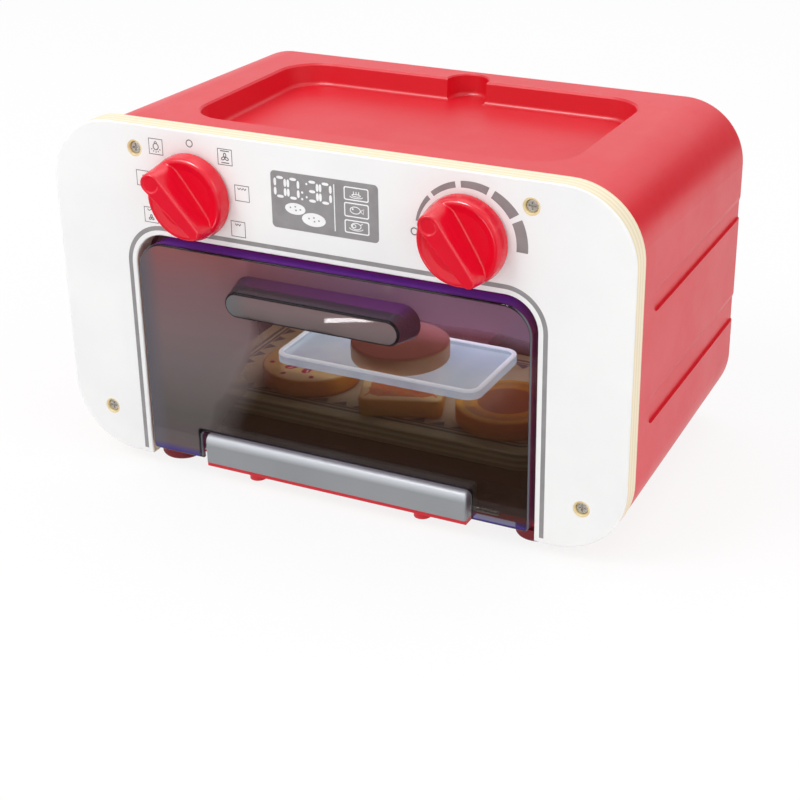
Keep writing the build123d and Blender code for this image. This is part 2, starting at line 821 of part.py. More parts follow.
def make_knob_carrier():
    low, high = carrier_low_z, carrier_high_z
    outline = Pos(0, (low + high) / 2) * RectangleRounded(2 * carrier_half_width, high - low, 4)
    carrier = slab(outline, panel_thickness, carrier_back_y)
    for side, turns in ((-1, left_turns), (1, right_turns)):
        place = Pos(side * knob_x, 0, knob_z)
        bore = hub_radius + hub_clearance
        carrier -= post_y(bore, side * knob_x, knob_z, panel_thickness - 1, carrier_back_y + 1)
        first = turns[1] + 180 + tab_half_angle + stop_clear_angle
        last = turns[0] + 180 - tab_half_angle - stop_clear_angle
        for start in (first, last - stop_angle):
            inner = wheel_radius + stop_gap
            stop = sector(inner, inner + stop_width, start, start + stop_angle)
            carrier += place * slab(stop, carrier_back_y, wheel_back_y - 0.5)
        for x, z in carrier_screw_places():
            hole = small_screw_shank + screw_clearance
            carrier -= post_y(hole, side * x, z, panel_thickness - 1, carrier_back_y + 1)
        for x, z in board_screw_places():
            carrier += post_y(post_radius, side * x, z, carrier_back_y, board_y)
            carrier -= post_y(small_screw_shank, side * x, z, carrier_back_y + 1, board_y + 1)
        x0, x1, z0, z1 = spring_post_extent()
        carrier += block(side * x0, side * x1, carrier_back_y, wheel_back_y, z0, z1)
    return carrier


def board_screw_places():
    edge = carrier_screw_edge
    return [(carrier_half_width - edge, carrier_low_z + edge), (board_screw_inner_x, carrier_high_z - edge)]


def spring_post_extent():
    outer = knob_x - spring_reach
    top = spring_strip_z() + spring_post / 2
    return outer - spring_post, outer, top - spring_post, top


def spring_strip_z():
    return knob_z + wheel_radius + spring_gap + 2 * spring_nose


def make_detent_springs():
    """A flat strip from its post out over the wheel, with a rounded nose beside the notches."""
    outer = spring_post_extent()[1]
    front, back = wheel_front_y + 0.4, wheel_back_y - 0.4
    low = spring_strip_z() - spring_strip
    spring = block(outer, knob_x + spring_nose, front, back, low, spring_strip_z())
    spring += post_y(spring_nose, knob_x, spring_strip_z() - spring_nose, front, back)
    return mirrored(spring)


def screw_row(places, seat_y, length):
    screw = screw_z(small_screw_shank, small_screw_head, small_screw_head_height, length)
    return [Pos(side * x, seat_y, z) * Rot(-90, 0, 0) * screw for side in (-1, 1) for x, z in places]


def make_circuit_board():
    low, high = carrier_low_z, carrier_high_z
    outline = Pos(0, (low + high) / 2) * RectangleRounded(2 * carrier_half_width, high - low, 3)
    board = slab(outline, board_y, board_y + board_thickness)
    for x, z in board_screw_places():
        for side in (-1, 1):
            hole = small_screw_shank + screw_clearance
            board -= post_y(hole, side * x, z, board_y - 1, board_y + board_thickness + 1)
    return board


def make_board_chips():
    back = board_y + board_thickness
    middle = (carrier_low_z + carrier_high_z) / 2
    chips = []
    for x, width, height, depth in (big_chip, small_chip):
        chips.append(block(x - width / 2, x + width / 2, back, back + depth,
                           middle - height / 2, middle + height / 2))
    for x in capacitor_places:
        chips.append(post_y(capacitor_radius, x, middle, back, back + capacitor_height))
    return chips


# ---- cavity liner ----
def make_cavity_liner():
    wall = cavity_wall
    inside = tunnel(cavity_half_width, cavity_floor_z, cavity_top_z, cavity_corner, cavity_low_corner)
    outside = tunnel(cavity_half_width + wall, cavity_floor_z - wall, cavity_top_z + wall,
                     cavity_corner + wall, cavity_low_corner + wall)
    flange_mid = Pos(0, (flange_top_z + flange_bottom_z) / 2)
    flange = flange_mid * RectangleRounded(2 * flange_half_width, flange_top_z - flange_bottom_z, 8)
    liner = slab(flange, body_front_y, body_front_y + flange_thickness)
    liner += slab(outside, body_front_y, cavity_back_y + wall)
    liner -= slab(inside, body_front_y - 1, cavity_back_y)
    hole = small_screw_shank + screw_clearance
    for side in (-1, 1):
        for x, z in liner_screw_places():
            liner -= post_y(hole, side * x, z, body_front_y - 1, body_front_y + flange_thickness + 1)
    for x, z in arm_screw_places():
        liner -= post_y(small_screw_shank, x, z, cavity_back_y - 1, cavity_back_y + wall + 1)
    return liner


# ---- lit shelf ----
def make_light_shelf():
    outline = Pos(0, shelf_mid_y) * RectangleRounded(shelf_width, shelf_depth, shelf_corner)
    well_width = shelf_width - 2 * shelf_rim
    well_depth = shelf_depth - 2 * shelf_rim
    well = Pos(0, shelf_mid_y) * RectangleRounded(well_width, well_depth, shelf_corner - shelf_rim)
    shelf = plate(outline, shelf_bottom_z, shelf_top_z)
    shelf = fillet(edges_at(shelf, 2, shelf_top_z), shelf_edge_round)
    shelf -= plate(well, well_floor_z, shelf_top_z + 1)
    for x in (-tongue_x, tongue_x):
        half = tongue_width / 2
        shelf += block(x - half, x + half, shelf_back_y - shelf_rim, shelf_back_y + tongue_length,
                       arm_mid_z - tongue_thickness / 2, arm_mid_z + tongue_thickness / 2)
    return shelf


def arm_screw_places():
    x = arm_plate_half_width - arm_screw_edge
    return [(-x, arm_mid_z), (x, arm_mid_z)]


def make_light_arm():
    low = arm_mid_z - arm_height / 2
    high = arm_mid_z + arm_height / 2
    arm = block(-arm_half_width, arm_half_width, arm_front_y, cavity_back_y, low, high)
    plate_low = arm_mid_z - arm_plate_height / 2
    plate_high = arm_mid_z + arm_plate_height / 2
    plate_front = cavity_back_y - arm_plate_thickness
    arm += block(-arm_plate_half_width, arm_plate_half_width, plate_front, cavity_back_y,
                 plate_low, plate_high)
    arm -= block(-arm_half_width + arm_wall, arm_half_width - arm_wall, arm_front_y - 1, plate_front,
                 low + arm_wall, high - arm_wall)
    for x in (-tongue_x, tongue_x):
        for z0, z1 in ((low + arm_wall, arm_mid_z - tongue_thickness / 2 - 0.05),
                       (arm_mid_z + tongue_thickness / 2 + 0.05, high - arm_wall)):
            arm += block(x - tongue_width / 2, x + tongue_width / 2, arm_front_y,
                         arm_front_y + tongue_length, z0, z1)
    for x, z in arm_screw_places():
        hole = small_screw_shank + screw_clearance
        arm -= post_y(hole, x, z, plate_front - 1, cavity_back_y + 1)
    return arm


def led_board_y():
    return arm_front_y + tongue_length + led_board_gap


def make_led_board():
    half_width = arm_half_width - arm_wall - 0.1
    half_height = arm_height / 2 - arm_wall - 0.05
    return block(-half_width, half_width, led_board_y(), led_board_y() + led_board_thickness,
                 arm_mid_z - half_height, arm_mid_z + half_height)


def make_leds():
    width, depth, height = led_size
    leds = []
    for number in range(led_count):
        x = (number - (led_count - 1) / 2) * led_pitch
        leds.append(block(x - width / 2, x + width / 2, led_board_y() - depth, led_board_y(),
                          arm_mid_z - height / 2, arm_mid_z + height / 2))
    return leds


def make_arm_screws():
    length = arm_plate_thickness + cavity_wall - arm_screw_end_gap
    screw = screw_z(small_screw_shank, small_screw_head, small_screw_head_height, length)
    seat_y = cavity_back_y - arm_plate_thickness
    return [Pos(x, seat_y, z) * Rot(90, 0, 0) * screw for x, z in arm_screw_places()]


# ---- tray and biscuits ----
def make_tray():
    outline = Pos(0, tray_front_y + tray_depth / 2) * RectangleRounded(tray_width, tray_depth, tray_corner)
    tray = plate(outline, tray_bottom_z, tray_top_z)
    tray = fillet(edges_at(tray, 2, tray_top_z), tray_edge_round)
    return fillet(edges_at(tray, 2, tray_bottom_z), tray_edge_round)


def make_round_biscuit(place, bottom_z):
    x, y = place
    top_z = bottom_z + biscuit_thickness
    biscuit = post_z(biscuit_radius, x, y, bottom_z, top_z)
    biscuit = fillet(edges_at(biscuit, 2, top_z), biscuit_round)
    return fillet(edges_at(biscuit, 2, bottom_z), biscuit_round)


def make_waffle(place, bottom_z):
    x, y = place
    top_z = bottom_z + biscuit_thickness
    outline = Pos(x, y) * Rot(0, 0, waffle_turn) * RectangleRounded(waffle_side, waffle_side, waffle_corner)
    waffle = plate(outline, bottom_z, top_z)
    waffle = fillet(edges_at(waffle, 2, top_z), biscuit_round)
    return fillet(edges_at(waffle, 2, bottom_z), biscuit_round)


# ---- speaker and switch ----
def make_speaker():
    speaker = post_y(speaker_radius, speaker_x, speaker_z, shell_back_y - speaker_flange, shell_back_y)
    cone_back = shell_back_y - speaker_flange - speaker_cone_depth
    cone = Pos(speaker_x, cone_back + speaker_cone_depth / 2, speaker_z) * Rot(90, 0, 0)
    cone *= Cone(speaker_radius - 2, speaker_magnet_radius + 1, speaker_cone_depth)
    speaker += cone
    magnet_back = cone_back - speaker_magnet_depth
    speaker += post_y(speaker_magnet_radius, speaker_x, speaker_z, magnet_back, cone_back)
    return speaker


def make_switch_body():
    width, depth, height = switch_body_size
    back = shell_back_y
    body = block(switch_x - width / 2, switch_x + width / 2, back - depth, back,
                 switch_z - height / 2, switch_z + height / 2)
    slot_width, slot_height = switch_slot
    return body - block(switch_x - slot_width / 2, switch_x + slot_width / 2, back - depth / 2, back + 1,
                        switch_z - slot_height / 2, switch_z + slot_height / 2)


def make_switch_slider():
    slot_width, slot_height = switch_slot
    low_x = switch_x - slot_width / 2 + slider_gap
    high_x = switch_x + slot_width / 2 - slider_gap - switch_travel
    half = slot_height / 2 - slider_gap
    inner_y = shell_back_y - switch_body_size[1] / 2 + slider_gap
    return block(low_x, high_x, inner_y, body_back_y - 0.6, switch_z - half, switch_z + half)


# ---- batteries ----
def cover_extent():
    last_y = cell_first_y + (cell_count - 1) * cell_pitch
    half_x = cell_length / 2 + 2 * contact_thickness + battery_wall + cover_margin
    front = cell_first_y - cell_radius - cover_margin
    return half_x, front, last_y + cell_radius + cover_margin + cover_screw_room


def make_battery_box():
    half_x, y0, y1 = cover_extent()
    top = shell_floor_z + rest_gap + 2 * cell_radius + cell_gap + battery_wall
    inner_x = cell_length / 2 + 2 * contact_thickness + cell_gap / 2
    box = block(-half_x + 1, half_x - 1, y0 + 1, y1 - 1, shell_floor_z, top)
    cell_y0 = cell_first_y - cell_radius - cell_gap
    cell_y1 = cell_first_y + (cell_count - 1) * cell_pitch + cell_radius + cell_gap
    box -= block(-inner_x, inner_x, cell_y0, cell_y1, shell_floor_z - 1, top - battery_wall)
    return box - post_z(small_screw_shank, 0, cover_screw_y(), shell_floor_z - 1, top - 1)


def cover_screw_y():
    return cover_extent()[2] - cover_screw_edge


def make_battery_cover():
    half_x, y0, y1 = cover_extent()
    cover = block(-half_x, half_x, y0, y1, body_bottom_z, shell_floor_z)
    cover -= post_z(small_screw_head + 0.2, 0, cover_screw_y(), body_bottom_z - 1, cover_screw_seat_z())
    hole = small_screw_shank + screw_clearance
    cover -= post_z(hole, 0, cover_screw_y(), body_bottom_z - 1, shell_floor_z + 1)
    for number in range(cover_groove_count):
        groove_y = y0 + cover_groove_start + cover_groove_pitch * number
        cover -= block(-cover_groove_half, cover_groove_half, groove_y, groove_y + cover_groove_width,
                       body_bottom_z - 1, body_bottom_z + cover_groove_depth)
    return cover


def cover_screw_seat_z():
    return body_bottom_z + small_screw_head_height + 0.2


def make_battery_cover_screw():
    screw = screw_z(small_screw_shank, small_screw_head, small_screw_head_height, cover_screw_length)
    return Pos(0, cover_screw_y(), cover_screw_seat_z()) * Rot(180, 0, 0) * screw


def make_batteries():
    cells = []
    z = shell_floor_z + rest_gap + cell_radius
    for number in range(cell_count):
        y = cell_first_y + number * cell_pitch
        way = 1 if number % 2 == 0 else -1
        shoulder = cell_length / 2 - cell_nipple_length
        cell = post_x(cell_radius, y, z, -way * cell_length / 2, way * shoulder)
        cell += post_x(cell_nipple, y, z, way * shoulder, way * cell_length / 2)
        cells.append(cell)
    return cells


def make_battery_contacts():
    contacts = []
    inner = cell_length / 2 + cell_gap / 2
    outer = inner + 2 * contact_thickness
    low = shell_floor_z + contact_lift
    for number in range(cell_count):
        y = cell_first_y + number * cell_pitch
        for side in (-1, 1):
            plate_x = side * (outer - contact_thickness)
            contact = block(plate_x, side * outer, y - contact_half_width, y + contact_half_width,
                            low, low + contact_height)
            contact += post_x(contact_coil, y, shell_floor_z + rest_gap + cell_radius, side * inner, plate_x)
            contacts.append(contact)
    return contacts


# ---- all nodes ----
def as_solids(shape):
    if isinstance(shape, (list, tuple)):
        solids = []
        for item in shape:
            solids.extend(as_solids(item))
        return solids
    return list(shape.solids())


def make_nodes():
    nodes = {
        "front_panel": make_front_panel(),
        "panel_screws": make_panel_screws(),
        "body_shell": make_body_shell(),
        "feet": make_feet(),
        "hinge_bar": make_hinge_bar(),
        "hinge_bar_screws": make_hinge_bar_screws(),
        "hinge_pins": make_hinge_pins(),
        "cavity_liner": make_cavity_liner(),
        "liner_screws": screw_row(liner_screw_places(), body_front_y + flange_thickness, liner_screw_length),
        "knob_carrier": make_knob_carrier(),
        "carrier_screws": screw_row(carrier_screw_places(), carrier_back_y, carrier_screw_length),
        "circuit_board": make_circuit_board(),
        "board_chips": make_board_chips(),
        "board_screws": screw_row(board_screw_places(), board_y + board_thickness, board_screw_length),
        "detent_springs": make_detent_springs(),
        "speaker": make_speaker(),
        "switch_body": make_switch_body(),
        "switch_slider": make_switch_slider(),
        "battery_box": make_battery_box(),
        "batteries": make_batteries(),
        "battery_contacts": make_battery_contacts(),
        "battery_cover": make_battery_cover(),
        "battery_cover_screw": make_battery_cover_screw(),
        "light_arm": make_light_arm(),
        "arm_screws": make_arm_screws(),
        "led_board": make_led_board(),
        "leds": make_leds(),
        "light_shelf": make_light_shelf(),
        "door_panel": make_door_panel(),
        "door_handle": make_door_handle(),
        "tray": make_tray(),
        "biscuit_drops": make_round_biscuit(drops_place, tray_top_z + rest_gap),
        "biscuit_waffle": make_waffle(waffle_place, tray_top_z + rest_gap),
        "biscuit_sun": make_round_biscuit(sun_place, tray_top_z + rest_gap),
        "biscuit_shelf": make_round_biscuit((shelf_biscuit_x, shelf_mid_y), well_floor_z + rest_gap),
    }
    nodes.update(make_knob_set(-1, "left", left_turns, left_rest_turn, left_steps))
    nodes.update(make_knob_set(1, "right", right_turns, right_rest_turn, right_steps))
    return nodes


os.makedirs("parts", exist_ok=True)
for name, shape in make_nodes().items():
    solids = [Pos(*origin_shift) * solid for solid in as_solids(shape)]
    export_step(Compound(children=solids) if len(solids) > 1 else solids[0], f"parts/{name}.step")
    print(name, len(solids))
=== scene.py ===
import math

import bpy
from mathutils import Matrix, Vector


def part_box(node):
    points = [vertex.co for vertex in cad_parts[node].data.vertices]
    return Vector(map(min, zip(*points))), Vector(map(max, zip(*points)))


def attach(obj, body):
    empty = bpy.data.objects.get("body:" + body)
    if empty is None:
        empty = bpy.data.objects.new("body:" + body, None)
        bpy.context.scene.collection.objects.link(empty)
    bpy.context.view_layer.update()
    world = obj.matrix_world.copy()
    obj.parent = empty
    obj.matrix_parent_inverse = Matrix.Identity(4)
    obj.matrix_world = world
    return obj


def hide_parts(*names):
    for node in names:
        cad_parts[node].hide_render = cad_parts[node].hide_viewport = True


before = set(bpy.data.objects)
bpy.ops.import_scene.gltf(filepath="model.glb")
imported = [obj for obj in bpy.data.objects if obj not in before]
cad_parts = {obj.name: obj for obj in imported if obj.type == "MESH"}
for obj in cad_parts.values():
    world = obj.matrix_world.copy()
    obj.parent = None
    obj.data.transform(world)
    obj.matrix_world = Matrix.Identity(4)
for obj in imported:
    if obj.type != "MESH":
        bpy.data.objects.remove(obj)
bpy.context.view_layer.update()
print("frame loaded, nodes:", len(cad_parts))

panelLow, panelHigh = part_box("front_panel")
mergeReach = 0.000002
spinMergeReach = 0.000005


# places are in millimetres: y from the panel's face, z from the panel's foot
def spot(x, y, z):
    return Vector((x / 1000, panelLow.y + y / 1000, panelLow.z + z / 1000))


def leaveEdit():
    bpy.ops.object.mode_set(mode="OBJECT")


def makeActive(piece):
    if bpy.context.object and bpy.context.object.mode != "OBJECT":
        leaveEdit()
    for other in bpy.context.selected_objects:
        other.select_set(False)
    piece.select_set(True)
    bpy.context.view_layer.objects.active = piece


def pickAll():
    bpy.ops.mesh.select_all(action="SELECT")


def inEdit(piece, mode="FACE"):
    makeActive(piece)
    bpy.ops.object.mode_set(mode="EDIT")
    bpy.ops.mesh.select_mode(type=mode)


def pickVerts(piece, test):
    bpy.ops.mesh.select_mode(type="VERT")
    bpy.ops.mesh.select_all(action="DESELECT")
    leaveEdit()
    for vert in piece.data.vertices:
        vert.select = test(vert.co)
    bpy.ops.object.mode_set(mode="EDIT")


def cleanMesh(piece, reach):
    inEdit(piece)
    pickAll()
    bpy.ops.mesh.remove_doubles(threshold=reach)
    bpy.ops.mesh.normals_make_consistent(inside=False)
    leaveEdit()


def applyPlace(piece):
    makeActive(piece)
    bpy.ops.object.transform_apply(location=True, rotation=True, scale=True)


def applyModifier(piece, kind, **settings):
    makeActive(piece)
    modifier = piece.modifiers.new(kind.title(), kind)
    for name, value in settings.items():
        setattr(modifier, name, value)
    bpy.ops.object.modifier_apply(modifier=modifier.name)


def cutWith(piece, cutter, way="DIFFERENCE"):
    applyModifier(piece, "BOOLEAN", object=cutter, operation=way, solver="EXACT")
    bpy.data.objects.remove(cutter)


def joinPieces(pieces):
    makeActive(pieces[0])
    for piece in pieces[1:]:
        piece.select_set(True)
    bpy.ops.object.join()
    return pieces[0]


def copyPiece(piece, name):
    twin = piece.copy()
    twin.data = piece.data.copy()
    twin.name = name
    bpy.context.scene.collection.objects.link(twin)
    return twin


def finishPiece(piece, name, material, body, slotName, smoothAngle=32):
    applyPlace(piece)
    piece.name = name
    piece.data.name = name
    piece.data.materials.clear()
    piece.data.materials.append(material)
    bpy.ops.object.shade_smooth_by_angle(angle=math.radians(smoothAngle))
    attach(piece, body)
    return piece


# finishes
def rgb(*levels):
    shares = [level / 255 for level in levels]
    return tuple(c / 12.92 if c <= 0.04045 else ((c + 0.055) / 1.055) ** 2.4 for c in shares) + (1.0,)


class NodeKit:
    def __init__(self, tree):
        self.tree = tree
        self.tree.nodes.clear()

    def add(self, kind, inputs=None, **settings):
        node = self.tree.nodes.new("ShaderNode" + kind)
        for name, value in settings.items():
            setattr(node, name, value)
        for socket, value in (inputs or {}).items():
            self.put(node.inputs[socket], value)
        return node

    def link(self, source, target):
        self.tree.links.new(source, target)

    def put(self, target, value):
        if hasattr(value, "is_output"):
            self.link(value, target)
        else:
            target.default_value = value

    def calc(self, kind, first, second=0.0):
        return self.add("Math", {0: first, 1: second}, operation=kind).outputs[0]

    def plus(self, first, second):
        return self.calc("ADD", first, second)

    def minus(self, first, second):
        return self.calc("SUBTRACT", first, second)

    def times(self, first, second):
        return self.calc("MULTIPLY", first, second)

    def larger(self, first, second):
        return self.calc("MAXIMUM", first, second)

    def size(self, value):
        return self.calc("ABSOLUTE", value)

    def directRay(self):
        # 1 for rays that come to the eye straight, mirrored or through clear plastic
        path = self.add("LightPath").outputs
        seen = self.larger(path["Is Camera Ray"], path["Is Glossy Ray"])
        return self.larger(seen, path["Is Transmission Ray"])

    def blend(self, share, first, second, target):
        self.link(self.add("MixShader", {0: share, 1: first, 2: second}).outputs[0], target)


finishes = {}


class Shader(NodeKit):
    def __init__(self, name):
        self.material = bpy.data.materials.new(name)
        finishes[name] = self.material
        self.material.use_nodes = True
        super().__init__(self.material.node_tree)
        self.output = self.add("OutputMaterial")
        self.main = self.add("BsdfPrincipled")
        self.link(self.main.outputs[0], self.output.inputs[0])
        self.place = self.add("TexCoord").outputs["Object"]

    def noise(self, scale, detail, roughness=0.55, stretch=(1, 1, 1), distortion=0.0):
        mapping = self.add("Mapping", {"Vector": self.place, "Scale": stretch})
        node = self.add("TexNoise", {"Vector": mapping.outputs[0], "Scale": scale, "Detail": detail,
                                     "Roughness": roughness, "Distortion": distortion})
        return node.outputs["Fac"]

    def ramp(self, source, stops):
        node = self.add("ValToRGB", {"Fac": source})
        elements = node.color_ramp.elements
        while len(elements) < len(stops):
            elements.new(0.5)
        for element, (position, colour) in zip(elements, stops):
            element.position = position
            element.color = colour
        return node.outputs["Color"]

    def twoTone(self, source, colours, start=0.3, end=0.7):
        return self.ramp(source, [(start, rgb(*colours[0])), (end, rgb(*colours[1]))])

    def spread(self, source, low, high, fromLow, fromHigh):
        node = self.add("MapRange", {"Value": source, "From Min": fromLow, "From Max": fromHigh,
                                     "To Min": low, "To Max": high})
        return node.outputs["Result"]

    def rise(self, source, low, high):
        return self.spread(source, 0.0, 1.0, low, high)

    def fall(self, source, low, high):
        return self.spread(source, 1.0, 0.0, low, high)

    def uneven(self, low, high, scale, detail):
        # a value that wanders between low and high
        return self.spread(self.noise(scale, detail), low, high, 0.3, 0.7)

    def mix(self, share, first, second):
        return self.add("Mix", {"Factor": share, 6: first, 7: second}, data_type="RGBA").outputs[2]

    def axes(self, source=None):
        return self.add("SeparateXYZ", {0: source or self.place}).outputs

    def reach(self, across, up):
        # distance beyond a corner, both ways
        squares = [self.calc("POWER", self.larger(value, 0.0), 2.0) for value in (across, up)]
        return self.calc("SQRT", self.plus(*squares))

    def grey(self, value):
        return self.add("CombineXYZ", {0: value, 1: value, 2: value}).outputs[0]

    def normal(self):
        return self.add("NewGeometry").outputs["True Normal"]

    def ownNormal(self):
        # the face normal in the piece's own axes, so that a turned door keeps its looks
        node = self.add("VectorTransform", {0: self.normal()}, vector_type="NORMAL", convert_from="WORLD",
                        convert_to="OBJECT")
        return node.outputs[0]

    def bump(self, height, distance):
        self.set(Normal=self.add("Bump", {"Height": height, "Distance": distance}).outputs[0])

    def set(self, **values):
        for name, value in values.items():
            self.put(self.main.inputs[name.replace("_", " ")], value)


def mouldedPlastic(name, look):
    # tinted plastic with slow colour drift, uneven polish and a fine skin; some looks add a painted highlight
    # band
    kit = Shader(name)
    driftScale, polishScale, skinScale = look["scales"]
    colour = kit.twoTone(kit.noise(driftScale, 2.0), look["colours"])
    # painted highlight: paler over a band of heights, where a rounded top edge catches the light
    if "paintedHighlight" in look:
        low, high = look["paintedHighlightZ"]
        paintedHighlight = kit.rise(kit.axes()[2], panelLow.z + low / 1000, panelLow.z + high / 1000)
        colour = kit.mix(paintedHighlight, colour, rgb(*look["paintedHighlight"]))
    kit.set(Base_Color=colour, Metallic=look.get("metal", 0.0), IOR=1.5)
    kit.set(Roughness=kit.spread(kit.noise(polishScale, 4.0, 0.65), *look["rough"], 0.25, 0.75))
    kit.set(Specular_IOR_Level=look.get("shine", 0.5))
    kit.bump(kit.noise(skinScale, 2.0, 0.5), look["skin"])


# scales: colour drift, polish and skin
metalLook = {"scales": (200, 700, 2500), "skin": 0.00001, "metal": 1.0}
plasticLooks = {
    "shellRed": {"colours": ((211, 12, 32), (218, 17, 40)), "scales": (9, 30, 1400), "rough": (0.34, 0.42),
                 "skin": 0.00003},
    # the feet: a darker red, partly painted shade from under the body
    "footRed": {"colours": ((120, 8, 26), (136, 12, 32)), "scales": (30, 90, 2200), "rough": (0.55, 0.7),
                "skin": 0.00004},
    "knobRed": {"colours": ((222, 0, 34), (230, 4, 42)), "scales": (20, 60, 500), "rough": (0.16, 0.22),
                "skin": 0.00001, "shine": 0.55},
    # the hinge bar is paler along its rounded top edge: a painted highlight
    "barGrey": {"colours": ((138, 141, 144), (148, 151, 154)), "scales": (14, 50, 1800), "rough": (0.3, 0.34),
                "skin": 0.00002, "paintedHighlight": (196, 200, 206), "paintedHighlightZ": (13.5, 17.0)},
    # the cavity liner and light arm: the body's red plastic darkened, painted shade inside the cavity
    "linerPlastic": {"colours": ((86, 24, 38), (104, 32, 48)), "scales": (14, 40, 1500), "rough": (0.4, 0.55),
                     "skin": 0.00003},
    "innerPlastic": {"colours": ((222, 220, 212), (236, 234, 228)), "scales": (20, 60, 1500),
                     "rough": (0.4, 0.55), "skin": 0.00003},
    "boardGreen": {"colours": ((22, 96, 52), (34, 118, 66)), "scales": (60, 180, 900), "rough": (0.25, 0.45),
                   "skin": 0.00003},
    "chipBlack": {"colours": ((26, 26, 28), (42, 42, 44)), "scales": (120, 300, 3000), "rough": (0.45, 0.6),
                  "skin": 0.00002},
    "nickelSteel": {"colours": ((196, 190, 184), (224, 220, 214)), "scales": (300, 900, 3000),
                    "rough": (0.18, 0.34), "skin": 0.00001, "metal": 0.5},
    "springSteel": dict(metalLook, colours=((150, 150, 150), (178, 178, 176)), rough=(0.22, 0.4)),
    "brassStrip": dict(metalLook, colours=((190, 150, 74), (216, 178, 96)), rough=(0.2, 0.36)),
    "cellJacket": {"colours": ((70, 88, 110), (92, 110, 134)), "scales": (80, 200, 900), "rough": (0.2, 0.32),
                   "skin": 0.00001},
}
inkLook = {"scales": (120, 300, 3000), "rough": (0.4, 0.5), "skin": 0.00001}
inkColours = {
    "greyPrint": ((140, 137, 138), (152, 149, 150)), "markPrint": ((92, 87, 89), (106, 101, 103)),
    "ringPrint": ((138, 130, 131), (150, 142, 143)), "whitePrint": ((240, 240, 240), (250, 250, 250)),
    "dropRed": ((196, 18, 50), (210, 26, 60)), "dropShine": ((250, 214, 214), (255, 232, 230)),
    "latticeOrange": ((238, 100, 20), (246, 112, 30)), "toastBrown": ((206, 104, 28), (222, 132, 36)),
    "sunBrown": ((180, 98, 22), (190, 108, 28)), "sunRing": ((236, 150, 16), (242, 158, 22)),
    "sunHaze": ((206, 138, 36), (214, 146, 40)), "trayGrey": ((122, 122, 128), (138, 138, 144)),
    "boreWood": ((222, 198, 142), (238, 220, 176)),
}
for inkName, colours in inkColours.items():
    plasticLooks[inkName] = dict(inkLook, colours=colours)
for finishName, look in plasticLooks.items():
    mouldedPlastic(finishName, look)


panelLook = {
    "paintDepth": 0.7, "paint": ((240, 240, 240), (247, 247, 246)), "plyCount": 7,
    "ply": ((246, 235, 210), (236, 221, 188)), "raw": rgb(240, 226, 196),
    "wobble": 0.25, "grainShare": 0.35, "satin": (0.3, 0.4), "rawRougher": 0.25, "skinDepth": 0.00002,
}


def paintedPly(name, look):
    # white satin paint on the front face, bare layered ply on every edge
    kit = Shader(name)
    y = kit.axes()[1]
    front = panelLow.y
    layers = kit.times(kit.minus(y, front), look["plyCount"] / (panelHigh.y - front))
    wobble = kit.times(kit.noise(60.0, 3.0, stretch=(1, 0.2, 1)), look["wobble"])
    stripe = kit.calc("PINGPONG", kit.plus(layers, wobble), 1.0)
    stripeColour = kit.twoTone(stripe, look["ply"], 0.35, 0.62)
    grain = kit.noise(900.0, 4.0, 0.6, stretch=(0.08, 1.0, 0.08))
    grained = kit.mix(kit.spread(grain, 0.0, look["grainShare"], 0.35, 0.75), stripeColour, look["raw"])
    paint = kit.twoTone(kit.noise(12.0, 3.0), look["paint"])
    isPaint = kit.calc("LESS_THAN", y, front + look["paintDepth"] / 1000)
    kit.set(Base_Color=kit.mix(isPaint, grained, paint), IOR=1.5)
    satin = kit.spread(kit.noise(70.0, 4.0), *look["satin"], 0.25, 0.75)
    kit.set(Roughness=kit.plus(satin, kit.times(kit.minus(1.0, isPaint), look["rawRougher"])))
    kit.bump(kit.noise(1600.0, 2.0), look["skinDepth"])


paintedPly("paintedPly", panelLook)

trayLook = {
    "face": ((234, 212, 168), (244, 228, 192)), "edge": ((236, 212, 168), (206, 168, 120)), "plyCount": 6,
    "fibreShare": 0.25, "rough": (0.42, 0.58), "fibreDepth": 0.00003,
}


def bareBirch(name, look, low, high):
    # birch ply: long grain on the faces, layers on the edge
    kit = Shader(name)
    grain = kit.noise(34.0, 5.0, 0.6, stretch=(0.25, 3.0, 3.0), distortion=0.4)
    fibre = kit.noise(700.0, 3.0, 0.6, stretch=(0.04, 1.0, 1.0))
    face = kit.twoTone(grain, look["face"])
    face = kit.mix(kit.spread(fibre, 0.0, look["fibreShare"], 0.4, 0.8), face, rgb(*look["face"][0]))
    layers = kit.times(kit.minus(kit.axes()[2], low), look["plyCount"] / (high - low))
    edge = kit.twoTone(kit.calc("PINGPONG", layers, 1.0), look["edge"], 0.35, 0.65)
    upright = kit.calc("LESS_THAN", kit.size(kit.axes(kit.normal())[2]), 0.5)
    kit.set(Base_Color=kit.mix(upright, face, edge), IOR=1.48)
    kit.set(Roughness=kit.spread(fibre, *look["rough"], 0.3, 0.7))
    kit.bump(fibre, look["fibreDepth"])


trayLow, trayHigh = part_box("tray")
bareBirch("trayBirch", trayLook, trayLow.z, trayHigh.z)


smokyLook = {
    "side": (0.05, 0.4), "bendStart": (0.12, 0.3), "bendEnd": (0.93, 0.995),
    "rough": (0.015, 0.03, 40.0, 3.0), "skinScale": 90.0, "skinDepth": 0.000008,
}


